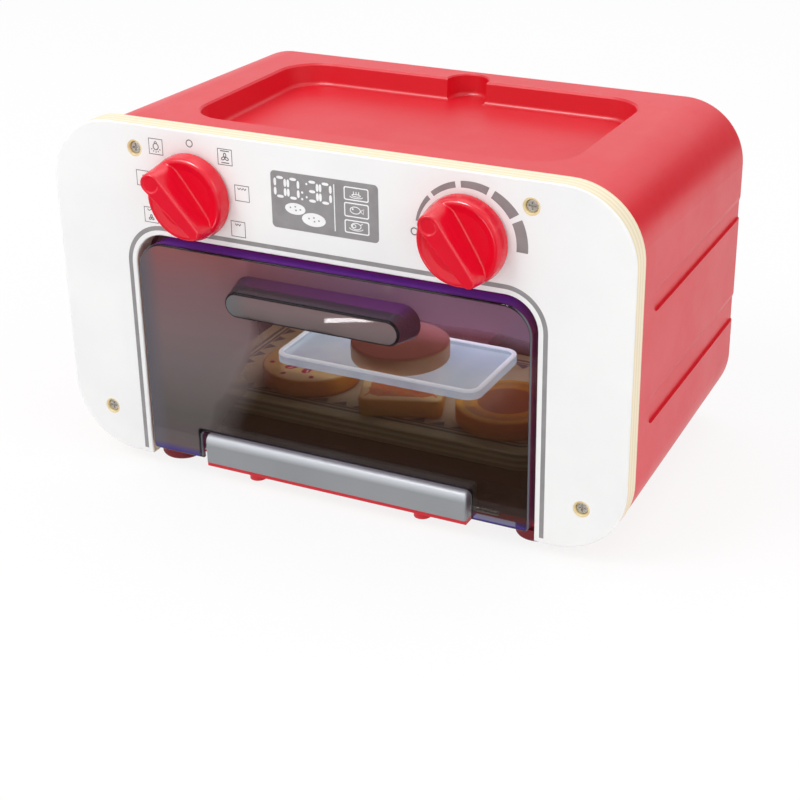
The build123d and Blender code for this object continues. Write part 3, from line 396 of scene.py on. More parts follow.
def smokyClear(name, look, paint):
    # smoky see-through plastic: paint gives the colour, density and painted glow of its outer skin; the
    # colour holds painted reflection and shade
    kit = Shader(name)
    x, y, z = kit.axes()
    place = (kit.times(x, 1000.0), kit.times(kit.minus(y, panelLow.y), 1000.0),
             kit.times(kit.minus(z, panelLow.z), 1000.0))
    normal = kit.axes(kit.ownNormal())
    facing = kit.size(normal[1])
    side = kit.fall(facing, *smokyLook["side"])
    bend = kit.times(kit.rise(facing, *smokyLook["bendStart"]), kit.fall(facing, *smokyLook["bendEnd"]))
    colour, alpha, flank = paint(kit, place, normal, side, bend, look)
    kit.set(Base_Color=colour, Alpha=alpha, IOR=1.49, Specular_IOR_Level=look["shine"])
    # painted glow: the flanks give off their colour as light
    kit.set(Emission_Color=kit.mix(side, rgb(0, 0, 0), flank), Emission_Strength=look["glowPower"])
    kit.set(Roughness=kit.uneven(*smokyLook["rough"]))
    kit.bump(kit.noise(smokyLook["skinScale"], 1.0), smokyLook["skinDepth"])


doorLook = {
    "half": 108.3, "top": 122.7, "corner": 15.0, "rimSkin": 0.5, "skinBack": 0.6, "shine": 0.16,
    "glowPower": 0.3, "drift": (-5.0, 5.0, 16.0, 3.0), "topDrift": 0.4, "paintedReflectionEdge": (-70.0, -35.0),
    "paintedReflectionEdgeZ": (15.0, 78.0), "paintedReflectionFade": (-9.0, 13.0), "topPaintedReflectionZ": (99.0, 107.0),
    "paintedReflectionRamp": [(0.0, rgb(96, 84, 86)), (0.25, rgb(93, 88, 86)), (0.5, rgb(112, 101, 102)),
                 (0.65, rgb(120, 102, 104)), (0.85, rgb(124, 94, 97)), (0.97, rgb(138, 89, 90))],
    "paintedShelfLight": rgb(130, 98, 120), "paintedShelfLightX": (-60.0, 20.0), "leftEdge": rgb(96, 94, 100),
    "leftEdgeX": (-105.0, -97.0), "leftEdgeShare": 0.9, "dark": rgb(40, 29, 20), "middle": rgb(74, 36, 34),
    "middleZ": (50.0, 72.0), "blueEdge": rgb(62, 50, 140), "blueZ": (6.5, 10.0),
    "blueShare": (0.6, 0.9, 30.0, 2.0), "notch": (77.4, 20.8), "notchFade": (1.3, 2.4),
    "notchPaintedShade": rgb(16, 15, 16),
    "sideGlowRamp": [(0.0, rgb(30, 12, 34)), (0.2, rgb(92, 40, 132)), (0.6, rgb(102, 46, 146)),
                 (0.95, rgb(124, 26, 118))],
    "sideY": (-2.0, 10.0), "flank": rgb(84, 34, 60), "bendPaintedShade": rgb(22, 14, 18),
    "bendSide": rgb(96, 100, 106), "bendTurn": (0.25, 0.5), "paintedLightAlpha": 0.95,
    "lowAlpha": 0.84, "shelfAlpha": 0.62, "topAlpha": 0.76, "shelfZ": (54.0, 68.0),
    "sideAlpha": (0.94, 0.94, 0.94, 1.0), "innerAlpha": (0.02, 0.02, 0.02, 1.0),
}


def paintDoor(kit, place, normal, side, bend, look):
    u, v, w = place
    fromMiddle, sideways = kit.size(u), kit.size(normal[0])
    drift = kit.uneven(*look["drift"])
    # painted reflection of the bright floor: a region over the upper left and a band along the top, coloured
    # by height
    edge = kit.spread(w, *look["paintedReflectionEdge"], *look["paintedReflectionEdgeZ"])
    leftPaintedReflection = kit.fall(kit.plus(kit.minus(u, edge), drift), *look["paintedReflectionFade"])
    topPaintedReflection = kit.rise(kit.plus(w, kit.times(drift, look["topDrift"])), *look["topPaintedReflectionZ"])
    paintedReflectionColour = kit.ramp(kit.calc("DIVIDE", kit.plus(w, drift), look["top"]), look["paintedReflectionRamp"])
    # painted light from the shelf: pinkish violet over the top right of the painted reflection
    paintedShelfLight = kit.times(topPaintedReflection, kit.rise(u, *look["paintedShelfLightX"]))
    paintedReflectionColour = kit.mix(paintedShelfLight, paintedReflectionColour, look["paintedShelfLight"])
    # greyer towards the left edge of the painted reflection
    leftEdge = kit.spread(u, look["leftEdgeShare"], 0.0, *look["leftEdgeX"])
    paintedReflectionColour = kit.mix(leftEdge, paintedReflectionColour, look["leftEdge"])
    # the face: its smoky tint, darkened to brown towards the bottom by painted shade and reflection
    face = kit.mix(kit.rise(w, *look["middleZ"]), look["dark"], look["middle"])
    face = kit.mix(kit.larger(leftPaintedReflection, topPaintedReflection), face, paintedReflectionColour)
    blue = kit.times(kit.fall(w, *look["blueZ"]), kit.uneven(*look["blueShare"]))
    face = kit.mix(blue, face, look["blueEdge"])
    # painted shade: nearly black round the notch, where the door meets the bar
    notchHalf, notchZ = look["notch"]
    notch = kit.reach(kit.minus(fromMiddle, notchHalf), kit.minus(w, notchZ))
    nearNotch = kit.fall(notch, *look["notchFade"])
    face = kit.mix(nearNotch, face, look["notchPaintedShade"])
    # painted glow on the flanks: dark at the front edge, then violet and magenta towards the back on top and
    # foot, dusky mauve on the sides
    flank = kit.mix(sideways, kit.ramp(kit.rise(v, *look["sideY"]), look["sideGlowRamp"]), look["flank"])
    # painted light on the rounded front edge: a dark outline above and below, paler grey at the sides
    rounded = kit.mix(kit.rise(sideways, *look["bendTurn"]), look["bendPaintedShade"], look["bendSide"])
    colour = kit.mix(bend, kit.mix(side, face, flank), rounded)
    # density: the painted reflection hides most, the lit shelf shows best, inner faces hardly show
    alpha = kit.spread(w, look["lowAlpha"], look["shelfAlpha"], *look["shelfZ"])
    alpha = kit.larger(alpha, kit.times(topPaintedReflection, look["topAlpha"]))
    alpha = kit.larger(alpha, kit.times(leftPaintedReflection, look["paintedLightAlpha"]))
    alpha = kit.larger(alpha, kit.times(kit.larger(nearNotch, bend), look["paintedLightAlpha"]))
    rim = kit.reach(kit.minus(fromMiddle, look["half"] - look["corner"]),
                    kit.minus(w, look["top"] - look["corner"]))
    onRim = kit.calc("GREATER_THAN", rim, look["corner"] - look["rimSkin"])
    outer = kit.larger(onRim, kit.calc("LESS_THAN", v, look["skinBack"]))
    outerAlpha = kit.mix(side, kit.grey(alpha), look["sideAlpha"])
    return colour, kit.mix(outer, look["innerAlpha"], outerAlpha), flank


handleLook = {
    "shine": 0.07, "glowPower": 0.28, "alpha": 0.95, "faceZ": (98.0, 111.5), "cloud": (-1.2, 1.2, 40.0, 2.0),
    "faceRamp": [(0.0, rgb(70, 60, 60)), (0.12, rgb(104, 92, 92)), (0.6, rgb(120, 103, 104)),
                 (1.0, rgb(122, 100, 102))],
    "leftEnd": rgb(100, 106, 108), "leftEndX": (-46.0, -34.0), "leftEndShare": 0.8, "alongX": (-45.0, 30.0),
    "ridgeY": (-10.9, -10.1), "front": (rgb(22, 12, 24), rgb(32, 20, 56)),
    "back": (rgb(72, 4, 60), rgb(94, 6, 112)), "end": rgb(96, 14, 54), "endTurn": (0.3, 0.8),
    "bend": rgb(30, 24, 28),
}


def paintHandle(kit, place, normal, side, bend, look):
    u, v, w = place
    # painted shading on the face: darker towards its foot, greyer at its left end
    face = kit.ramp(kit.rise(kit.plus(w, kit.uneven(*look["cloud"])), *look["faceZ"]), look["faceRamp"])
    face = kit.mix(kit.spread(u, look["leftEndShare"], 0.0, *look["leftEndX"]), face, look["leftEnd"])
    # painted light through the clear handle: top and flanks dark at the front, magenta behind, crimson at the
    # ends
    along = kit.rise(u, *look["alongX"])
    front, back = kit.mix(along, *look["front"]), kit.mix(along, *look["back"])
    flank = kit.mix(kit.rise(v, *look["ridgeY"]), front, back)
    flank = kit.mix(kit.rise(normal[0], *look["endTurn"]), flank, look["end"])
    # the rounded edges get a painted dark outline
    colour = kit.mix(bend, kit.mix(side, face, flank), look["bend"])
    return colour, look["alpha"], flank


smokyClear("doorTint", doorLook, paintDoor)
smokyClear("handleTint", handleLook, paintHandle)


shelfLook = {
    "body": rgb(206, 222, 234), "rim": rgb(244, 248, 255), "bodyGlow": rgb(152, 182, 206),
    "rimGlow": rgb(240, 246, 255), "glowPower": 1.0, "alpha": (0.5, 0.92), "rimDrop": (0.0012, 0.0004),
    "rough": (0.06, 0.16), "streakShare": 0.5, "streakDepth": 0.00002,
}


def litClear(name, look, high):
    # clear plate lit from its back edge: the rim carries the light
    kit = Shader(name)
    rimLow, rimHigh = look["rimDrop"]
    top = kit.rise(kit.axes()[2], high - rimLow, high - rimHigh)
    streak = kit.noise(70.0, 4.0, 0.6, stretch=(1.0, 0.2, 1.0))
    kit.set(Base_Color=kit.mix(top, look["body"], look["rim"]))
    kit.set(Alpha=kit.spread(top, *look["alpha"], 0.0, 1.0))
    kit.set(Roughness=kit.spread(streak, *look["rough"], 0.3, 0.7))
    glow = kit.mix(top, look["bodyGlow"], look["rimGlow"])
    share = kit.spread(streak, 0.0, look["streakShare"], 0.3, 0.7)
    kit.set(Emission_Color=kit.mix(share, glow, look["rimGlow"]))
    kit.set(Emission_Strength=look["glowPower"], IOR=1.49)
    kit.bump(streak, look["streakDepth"])


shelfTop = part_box("light_shelf")[1].z
litClear("litClear", shelfLook, shelfTop)
ledLook = dict(shelfLook, body=rgb(240, 244, 255), rim=rgb(255, 255, 255), bodyGlow=rgb(200, 214, 255),
               rimGlow=rgb(235, 240, 255), glowPower=3.0, alpha=(0.8, 0.95))
litClear("ledLens", ledLook, shelfTop)


biscuitPaint = {"topTurn": (0.5, 0.9), "rough": (0.4, 0.55, 150.0, 3.0), "brushDepth": 0.00002}


def paintedBiscuit(name, look):
    # painted wood: paler top, warm side, slow brush variation
    kit = Shader(name)
    up = kit.rise(kit.axes(kit.normal())[2], *biscuitPaint["topTurn"])
    drift = kit.noise(60.0, 3.0)
    side, top = kit.twoTone(drift, look["side"]), kit.twoTone(drift, look["top"])
    kit.set(Base_Color=kit.mix(up, side, top), IOR=1.48, Roughness=kit.uneven(*biscuitPaint["rough"]))
    kit.bump(kit.noise(1200.0, 2.0), biscuitPaint["brushDepth"])


biscuitLooks = {
    "dropsBiscuit": {"side": ((236, 156, 60), (246, 170, 66)), "top": ((248, 192, 118), (250, 200, 130))},
    "waffleBiscuit": {"side": ((240, 172, 66), (246, 182, 78)), "top": ((250, 200, 124), (252, 208, 138))},
    "sunBiscuit": {"side": ((228, 132, 8), (238, 144, 14)), "top": ((238, 160, 24), (244, 172, 32))},
    # the shelf biscuit's top is darker and mauve: painted pinkish light on plain wood
    "shelfBiscuit": {"side": ((214, 160, 110), (224, 172, 122)), "top": ((176, 108, 98), (186, 118, 106))},
}
for finishName, look in biscuitLooks.items():
    paintedBiscuit(finishName, look)

nodeFinishes = {
    "nickelSteel": "panel_screws hinge_bar_screws hinge_pins liner_screws carrier_screws board_screws"
                   " battery_cover_screw arm_screws left_knob_screw right_knob_screw",
    "innerPlastic": "knob_carrier battery_box left_detent_wheel right_detent_wheel",
    "chipBlack": "board_chips speaker switch_body switch_slider",
    "springSteel": "detent_springs battery_contacts", "brassStrip": "left_wiper right_wiper",
    "shellRed": "body_shell battery_cover", "linerPlastic": "cavity_liner light_arm",
    "boardGreen": "circuit_board led_board", "knobRed": "left_knob right_knob", "footRed": "feet",
    "paintedPly": "front_panel", "barGrey": "hinge_bar", "cellJacket": "batteries", "ledLens": "leds",
    "litClear": "light_shelf", "doorTint": "door_panel", "handleTint": "door_handle", "trayBirch": "tray",
    "dropsBiscuit": "biscuit_drops", "waffleBiscuit": "biscuit_waffle", "sunBiscuit": "biscuit_sun",
    "shelfBiscuit": "biscuit_shelf",
}
for finishName, nodeNames in nodeFinishes.items():
    for nodeName in nodeNames.split():
        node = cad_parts[nodeName]
        if not node.data.materials:
            node.data.materials.append(finishes[finishName])
        for slot in node.material_slots:
            slot.material = finishes[finishName]
print("finishes made:", len(finishes))


# printed marks: flat curves turned to thin meshes
def arcPoints(cx, cz, radiusX, radiusZ, start, end, steps):
    # angles clockwise from straight up
    points = []
    for step in range(steps + 1):
        angle = math.radians(start + (end - start) * step / steps)
        points.append((cx + radiusX * math.sin(angle), cz + radiusZ * math.cos(angle)))
    return points


def roundPoints(cx, cz, radiusX, radiusZ, steps=28):
    return arcPoints(cx, cz, radiusX, radiusZ, 0, 360, steps)[:-1]


def turnedPoints(points, cx, cy, turn):
    angle = math.radians(turn)
    return [(cx + x * math.cos(angle) - y * math.sin(angle), cy + x * math.sin(angle) + y * math.cos(angle))
            for x, y in points]


def boxPoints(x0, x1, z0, z1, corner=0.0, steps=6):
    if not corner:
        return [(x0, z0), (x1, z0), (x1, z1), (x0, z1)]
    points = []
    ends = ((x1 - corner, z1 - corner), (x1 - corner, z0 + corner), (x0 + corner, z0 + corner),
            (x0 + corner, z1 - corner))
    for side, (x, z) in enumerate(ends):
        points += arcPoints(x, z, corner, corner, 90 * side, 90 * side + 90, steps)
    return points


def layFlat(piece, level, facing, height):
    # facing "front": drawn in x and z on a face that looks forwards; "up": drawn in x and y on a flat top
    makeActive(piece)
    bpy.ops.object.convert(target="MESH")
    if facing == "front":
        piece.rotation_euler = (math.radians(90), 0, 0)
        piece.location = spot(0, level - height / 2, 0)
    else:
        piece.location = spot(0, 0, level + height / 2)
    applyPlace(piece)
    cleanMesh(piece, mergeReach)


def newCurve(name, outlines, dimensions):
    curve = bpy.data.curves.new(name, "CURVE")
    curve.dimensions = dimensions
    for points, closed in outlines:
        line = curve.splines.new("POLY")
        line.points.add(len(points) - 1)
        for point, (x, z) in zip(line.points, points):
            point.co = (x / 1000, z / 1000, 0, 1)
        line.use_cyclic_u = closed
    piece = bpy.data.objects.new(name, curve)
    bpy.context.scene.collection.objects.link(piece)
    return piece, curve


def printFill(name, outlines, finish, home, level=0.0, facing="front", height=0.05):
    piece, curve = newCurve(name, [(points, True) for points in outlines], "2D")
    curve.fill_mode = "BOTH"
    curve.extrude = height / 2000
    layFlat(piece, level, facing, height)
    return finishPiece(piece, name, finishes[finish], *home)


def printLines(name, strokes, width, finish, home, level=0.0, facing="front", height=0.05):
    piece, curve = newCurve(name, strokes, "3D")
    curve.bevel_depth = width / 2000
    curve.bevel_resolution = 1
    curve.use_fill_caps = True
    piece.scale = (1, 1, height / width)
    layFlat(piece, level, facing, height)
    return finishPiece(piece, name, finishes[finish], *home)


# a print's home: the body that it rides and a slot name
onPanel = ("oven", "panel_wood")
onTray = ("tray_body", "tray_wood")

# the printed band round the opening
bandLook = {"halfWidth": 110.5, "top": 126.7, "corner": 17.0, "near": 2.8, "far": 5.1, "foot": 2.6}


def archPoints(grow, look):
    half = look["halfWidth"] + grow
    top = look["top"] + grow
    corner = look["corner"] + grow
    points = [(-half, look["foot"])]
    points += arcPoints(-half + corner, top - corner, corner, corner, -90, 0, 16)
    points += arcPoints(half - corner, top - corner, corner, corner, 0, 90, 16)
    return points + [(half, look["foot"])]


band = archPoints(bandLook["far"], bandLook) + archPoints(bandLook["near"], bandLook)[::-1]
printFill("opening_band", [band], "greyPrint", onPanel)

# the left dial's little pictures
iconLook = {
    "line": 0.5, "boxHalf": 3.95, "leafOut": 0.58, "leafHalf": (0.34, 0.5),
    "rayAngles": (-60, -30, 0, 30, 60), "rayReach": (2.4, 3.1), "lamp": (-93.5, 173.4),
    "bulb": (1.5, 1.6), "capHalf": 0.8, "cap": (175.2, 176.2),
}


def zigzag(x, z, width, rise, peaks):
    count = 2 * peaks
    return [(x + width * (step / count - 0.5), z + (0 if step % 2 else rise)) for step in range(count + 1)]


def iconBox(x, z):
    half = iconLook["boxHalf"]
    return (boxPoints(x - half, x + half, z - half, z + half), True)


def fanStrokes(x, z, size):
    halfX, halfZ = iconLook["leafHalf"]
    leaf = roundPoints(0, size * iconLook["leafOut"], size * halfX, size * halfZ, 12)
    return [(turnedPoints(leaf, x, z, -turn), True) for turn in (0, 120, 240)]


def lampStrokes(look):
    # bulb, cap and rays
    x, z = look["lamp"]
    capLow, capHigh = look["cap"]
    strokes = [(roundPoints(x, z, *look["bulb"], 18), True)]
    strokes += [([(x - look["capHalf"], capLow), (x, capHigh), (x + look["capHalf"], capLow)], False)]
    for angle in look["rayAngles"]:
        down = math.radians(180 + angle)
        ray = [(x + out * math.sin(down), z + out * math.cos(down)) for out in look["rayReach"]]
        strokes.append((ray, False))
    return strokes


leftMarks = [iconBox(*iconLook["lamp"]), (roundPoints(-73.7, 177.5, 1.75, 1.75), True)]
iconPlaces = ((-53.7, 173.2), (-45.1, 155.9), (-48.4, 137.1), (-102.3, 156.0), (-99.4, 137.1))
leftMarks += [iconBox(x, z) for x, z in iconPlaces]
leftMarks += lampStrokes(iconLook) + fanStrokes(-53.7, 173.0, 2.0)
leftMarks += [([(-56.2, 176.2), (-51.2, 176.2)], False), ([(-55.8, 170.3), (-51.4, 170.3)], False),
              (zigzag(-45.1, 157.7, 4.8, 0.9, 3), False), (zigzag(-48.4, 138.9, 3.0, 0.9, 2), False),
              (roundPoints(-102.3, 157.2, 0.4, 0.4, 8), True), (zigzag(-99.4, 139.2, 4.0, 0.9, 2), False)]
leftMarks += fanStrokes(-99.4, 135.6, 1.5)
printLines("left_dial_marks", leftMarks, iconLook["line"], "markPrint", onPanel)

# the right dial's growing ring and its small circle
heatRing = {
    "x": 73.8, "z": 149.4, "steps": 16,
    "inner": [(-75.0, 24.8), (-44.0, 25.2), (-10.0, 25.9), (23.0, 26.2), (62.0, 26.2), (92.0, 25.5)],
    "outer": [(-75.0, 26.1), (-41.0, 27.7), (-7.0, 29.0), (26.0, 30.3), (60.0, 31.7), (92.0, 31.2)],
    "parts": [(-75.0, -44.0), (-38.6, -10.4), (-4.6, 23.4), (29.0, 57.2), (62.4, 92.0)],
    "zero": (47.9, 150.6, 1.7, 1.7), "zeroLine": 0.55,
}


def radiusAt(angle, steps):
    for (a0, r0), (a1, r1) in zip(steps, steps[1:]):
        if angle <= a1:
            return r0 + (r1 - r0) * (angle - a0) / (a1 - a0)
    return steps[-1][1]


def ringOutline(start, end, look):
    outline = []
    for steps, first, last in ((look["outer"], start, end), (look["inner"], end, start)):
        for step in range(look["steps"] + 1):
            angle = first + (last - first) * step / look["steps"]
            radius = radiusAt(angle, steps)
            outline += arcPoints(look["x"], look["z"], radius, radius, angle, angle, 1)[:1]
    return outline


rings = [ringOutline(start, end, heatRing) for start, end in heatRing["parts"]]
printFill("right_dial_ring", rings, "ringPrint", onPanel)
zeroRing = [(roundPoints(*heatRing["zero"]), True)]
printLines("right_dial_zero", zeroRing, heatRing["zeroLine"], "markPrint", onPanel)

# the display: a grey field with the time, two biscuits and three little programs in white
displayLook = {
    "x": (-28.6, 29.3), "z": (141.6, 170.3), "corner": 2.2, "digitHalf": 2.75, "digitZ": (157.7, 167.1),
    "digits": (-23.5, -16.3, -5.9, 1.2), "barOut": 2.3, "barWidth": 1.5, "barLengths": (3.7, 3.4, 4.0),
    "dots": ((-11.4, 161.2, 0.6), (-11.5, 157.9, 0.6), (-8.9, 165.8, 0.55), (-9.0, 159.2, 0.55)),
    "biscuits": ((-15.6, 152.4, 5.6, 2.9), (-5.6, 148.2, 6.5, 3.4)),
    "biscuitDots": ((-2.6, 0.4), (0.1, 1.1), (0.4, -0.7), (2.8, -0.1)), "rule": (5.65, 6.15, 144.3, 167.7),
    "frames": ((161.0, 167.7), (152.7, 159.9), (144.6, 151.3)), "frameX": (11.1, 24.3), "frameLine": 0.6,
    "line": 0.42, "level": -0.05, "height": 0.03,
}
display = [boxPoints(*displayLook["x"], *displayLook["z"], displayLook["corner"])]
printFill("display_field", display, "greyPrint", onPanel)


def lens(x, z, length, turn, width):
    points = [(math.copysign(abs(px) ** 0.8, px) * length / 2, math.copysign(abs(pz) ** 0.9, pz) * width / 2)
              for px, pz in roundPoints(0, 0, 1.0, 1.0, 16)]
    return turnedPoints(points, x, z, turn)


def digit(x, parts, look):
    half, out = look["digitHalf"], look["barOut"]
    low, high = look["digitZ"]
    level, short, tall = look["barLengths"]
    middle = (low + high) / 2
    places = {
        "top": (x, high, level, 0), "bottom": (x, low, level, 0), "middle": (x, middle, short, 0),
        "upLeft": (x - half, middle + out, tall, 90), "upRight": (x + half, middle + out, tall, 90),
        "lowLeft": (x - half, middle - out, tall, 90), "lowRight": (x + half, middle - out, tall, 90),
    }
    return [lens(*places[part], look["barWidth"]) for part in parts]


zeroParts = ("top", "bottom", "upLeft", "upRight", "lowLeft", "lowRight")
threeParts = ("top", "bottom", "middle", "upRight", "lowRight")
whiteShapes = []
for x, parts in zip(displayLook["digits"], (zeroParts, zeroParts, threeParts, zeroParts)):
    whiteShapes += digit(x, parts, displayLook)
for x, z, radius in displayLook["dots"]:
    whiteShapes.append(roundPoints(x, z, radius, radius * 1.1, 12))
for x, z, radiusX, radiusZ in displayLook["biscuits"]:
    whiteShapes.append(roundPoints(x, z, radiusX, radiusZ, 32))
    for dx, dz in displayLook["biscuitDots"]:
        whiteShapes.append(roundPoints(x + dx, z + dz, 0.5, 0.42, 8))
whiteShapes.append(boxPoints(*displayLook["rule"]))
frameLow, frameHigh = displayLook["frameX"]
line = displayLook["frameLine"]
for z0, z1 in displayLook["frames"]:
    whiteShapes.append(boxPoints(frameLow, frameHigh, z0, z1, 1.0))
    whiteShapes.append(boxPoints(frameLow + line, frameHigh - line, z0 + line, z1 - line, 0.6))
inField = {"level": displayLook["level"], "height": displayLook["height"]}
printFill("display_signs", whiteShapes, "whitePrint", onPanel, **inField)

programLines = [
    # cake with three candles
    (arcPoints(17.7, 163.2, 3.4, 0.9, 90, 270, 10), False), (roundPoints(17.7, 163.7, 2.3, 0.6, 14), True),
    ([(16.3, 163.9), (16.3, 165.6)], False), ([(17.7, 163.9), (17.7, 165.6)], False),
    ([(19.1, 163.9), (19.1, 165.6)], False),
    # fish
    (arcPoints(17.0, 156.3, 2.7, 1.7, -120, 120, 14), False),
    (arcPoints(17.0, 156.3, 2.7, 1.7, 120, 240, 10), False),
    ([(19.6, 156.1), (21.6, 157.4), (21.3, 154.9), (19.6, 156.1)], False),
    (roundPoints(15.7, 156.8, 0.3, 0.3, 8), True),
    # roast
    (roundPoints(17.3, 148.4, 2.6, 1.6, 16), True), (arcPoints(17.3, 147.4, 3.6, 1.2, 90, 270, 10), False),
    ([(19.6, 149.2), (20.8, 150.1)], False), (roundPoints(16.2, 148.4, 1.0, 0.8, 10), True),
]
printLines("display_programs", programLines, displayLook["line"], "whitePrint", onPanel, **inField)
print("panel prints done")


# turned and drop-shaped solids
def spinProfile(name, profile, centre, steps=72):
    # profile: (radius, depth) pairs in millimetres, spun round an axis along y through the centre
    half = 0.0005
    bpy.ops.mesh.primitive_plane_add(size=2 * half, location=(0, 0, 0))
    piece = bpy.context.object
    piece.name = name
    inEdit(piece, "VERT")
    pickVerts(piece, lambda co: co.x < 0 or co.y < 0)
    bpy.ops.mesh.delete(type="VERT")
    pickAll()
    startRadius, startDepth = profile[0]
    here = Vector((half, half, 0))
    goal = Vector((startRadius / 1000, startDepth / 1000, 0))
    bpy.ops.transform.translate(value=goal - here)
    for (r0, d0), (r1, d1) in zip(profile, profile[1:]):
        step = ((r1 - r0) / 1000, (d1 - d0) / 1000, 0)
        bpy.ops.mesh.extrude_region_move(TRANSFORM_OT_translate={"value": step})
    pickAll()
    bpy.ops.mesh.spin(steps=steps, angle=math.radians(360), center=(0, 0, 0), axis=(0, 1, 0))
    cleanMesh(piece, spinMergeReach)
    piece.location = centre
    applyPlace(piece)
    return piece


def dropRing(piece, length, radii):
    # the unit circle's upper half becomes the nose, its lower half the tail
    nose, tail = radii
    middle = -0.0001
    halves = ((lambda co: co.y > middle, nose, length / 2 - nose),
              (lambda co: co.y <= middle, tail, tail - length / 2))
    for test, radius, shift in halves:
        pickVerts(piece, test)
        bpy.ops.transform.resize(value=(radius, radius, 1), center_override=(0, 0, 0))
    for test, radius, shift in halves:
        pickVerts(piece, test)
        bpy.ops.transform.translate(value=(0, shift, 0))


knobShape = {
    "profile": [(0, -0.6), (20.6, -0.6), (21.6, -0.8), (22.0, -1.5), (21.7, -5.0), (21.3, -7.4),
                (20.9, -8.4), (20.2, -9.0), (19.3, -9.2), (18.3, -9.0), (17.2, -8.5), (15.5, -8.0),
                (10.0, -7.7), (0, -7.6)],
    "levels": [(-6.5, 43.0, (7.7, 5.5), 0.0), (-8.5, 42.6, (7.1, 4.9), 0.5), (-11.0, 42.0, (6.6, 4.4), 1.6),
               (-15.0, 41.2, (6.0, 3.8), 3.8), (-18.6, 40.6, (5.6, 3.4), 5.6), (-20.2, 40.0, (5.3, 3.1), 6.2),
               (-20.8, 39.2, (4.8, 2.6), 6.2)],
    "dimpleRadius": 4.2, "dimpleDepth": 0.6, "dimpleReach": 3.0, "dimpleInset": 0.2, "voxel": 0.00032,
    "hub": [(0, -2.0), (5.0, -2.0), (5.0, 14.3), (3.2, 14.3), (3.2, 17.3), (0, 17.3)],
    "height": 151.0, "places": {"left": (-73.8, -41.0), "right": (73.8, -35.0)}, "smoothAngle": 60,
}


def makeKnob(look):
    disc = spinProfile("knobDisc", look["profile"], (0, 0, 0))
    rings = []
    for depth, length, radii, lean in look["levels"]:
        bpy.ops.mesh.primitive_circle_add(vertices=64, radius=1.0, fill_type="NOTHING", location=(0, 0, 0))
        ring = bpy.context.object
        inEdit(ring, "VERT")
        dropRing(ring, length, radii)
        leaveEdit()
        ring.rotation_euler = (math.radians(90 + lean), 0, 0)
        ring.scale = (0.001, 0.001, 0.001)
        ring.location = (0, depth / 1000, 0)
        applyPlace(ring)
        rings.append(ring)
    grip = joinPieces(rings)
    inEdit(grip, "EDGE")
    pickAll()
    bpy.ops.mesh.bridge_edge_loops()
    bpy.ops.mesh.select_all(action="DESELECT")
    bpy.ops.mesh.select_non_manifold(extend=False)
    bpy.ops.mesh.edge_face_add()
    pickAll()
    bpy.ops.mesh.normals_make_consistent(inside=False)
    leaveEdit()
    noseLength, radii = look["levels"][-3][1:3]
    faceY, lean = look["levels"][-1][0], math.radians(look["levels"][-1][3])
    up = noseLength / 2 - radii[0] - look["dimpleInset"]
    away = look["dimpleReach"] / 2 - look["dimpleDepth"]
    dimplePlace = Vector((0, faceY - up * math.sin(lean) - away * math.cos(lean),
                          up * math.cos(lean) - away * math.sin(lean)))
    bpy.ops.mesh.primitive_cylinder_add(vertices=64, radius=look["dimpleRadius"] / 1000,
                                        depth=look["dimpleReach"] / 1000, location=dimplePlace / 1000,
                                        rotation=(math.pi / 2 + lean, 0, 0))
    cutWith(grip, bpy.context.object)
    cutWith(disc, grip, "UNION")
    applyModifier(disc, "REMESH", mode="VOXEL", voxel_size=look["voxel"], use_smooth_shade=True)
    applyModifier(disc, "SMOOTH", factor=0.5, iterations=5)
    return disc


knobModel = joinPieces([makeKnob(knobShape), spinProfile("knobHub", knobShape["hub"], (0, 0, 0), 48)])
for side, (x, turn) in knobShape["places"].items():
    knob = copyPiece(knobModel, side + "_knob_dressed")
    knob.rotation_euler = (0, math.radians(turn), 0)
    knob.location = spot(x, 0, knobShape["height"])
    finishPiece(knob, knob.name, finishes["knobRed"], side + "_dial", "knob_red", knobShape["smoothAngle"])
    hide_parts(side + "_knob")
bpy.data.objects.remove(knobModel)
print("knobs done")

# golden wood rings where the panel screws sink in
boreLook = {
    "profile": [(3.2, 3.3), (3.25, 0.5), (3.6, 0.05), (4.2, -0.06), (4.35, 0.02), (4.0, 0.6), (3.95, 3.3),
                (3.2, 3.3)],
    "places": ((-106.3, 171.1), (106.3, 171.1), (-134.6, 23.4), (134.6, 23.4)),
}
boreModel = spinProfile("boreModel", boreLook["profile"], (0, 0, 0), 48)
for number, (x, z) in enumerate(boreLook["places"]):
    bore = copyPiece(boreModel, "screw_bore_%d" % (number + 1))
    bore.location = spot(x, 0, z)
    finishPiece(bore, bore.name, finishes["boreWood"], *onPanel)
bpy.data.objects.remove(boreModel)

# tray print: two lines and a row of triangles inside them
trayPrint = {
    "mid": (0.0, 82.0), "half": (103.0, 56.0), "corner": 17.0, "lines": ((7.2, 1.9), (10.6, 1.33)),
    "leastCorner": 2.0, "toothIn": 12.6, "toothLength": 8.6, "toothDepth": 5.2, "toothPitch": 11.4,
    "toothTip": 0.28, "freeEnds": 14, "level": 30.8,
}


def trayFrame(inset, width, look):
    midX, midY = look["mid"]
    shapes = []
    for grow in (inset, inset + width):
        corner = max(look["leastCorner"], look["corner"] - grow)
        halfX, halfY = look["half"][0] - grow, look["half"][1] - grow
        shapes.append(boxPoints(midX - halfX, midX + halfX, midY - halfY, midY + halfY, corner, 10))
    return shapes


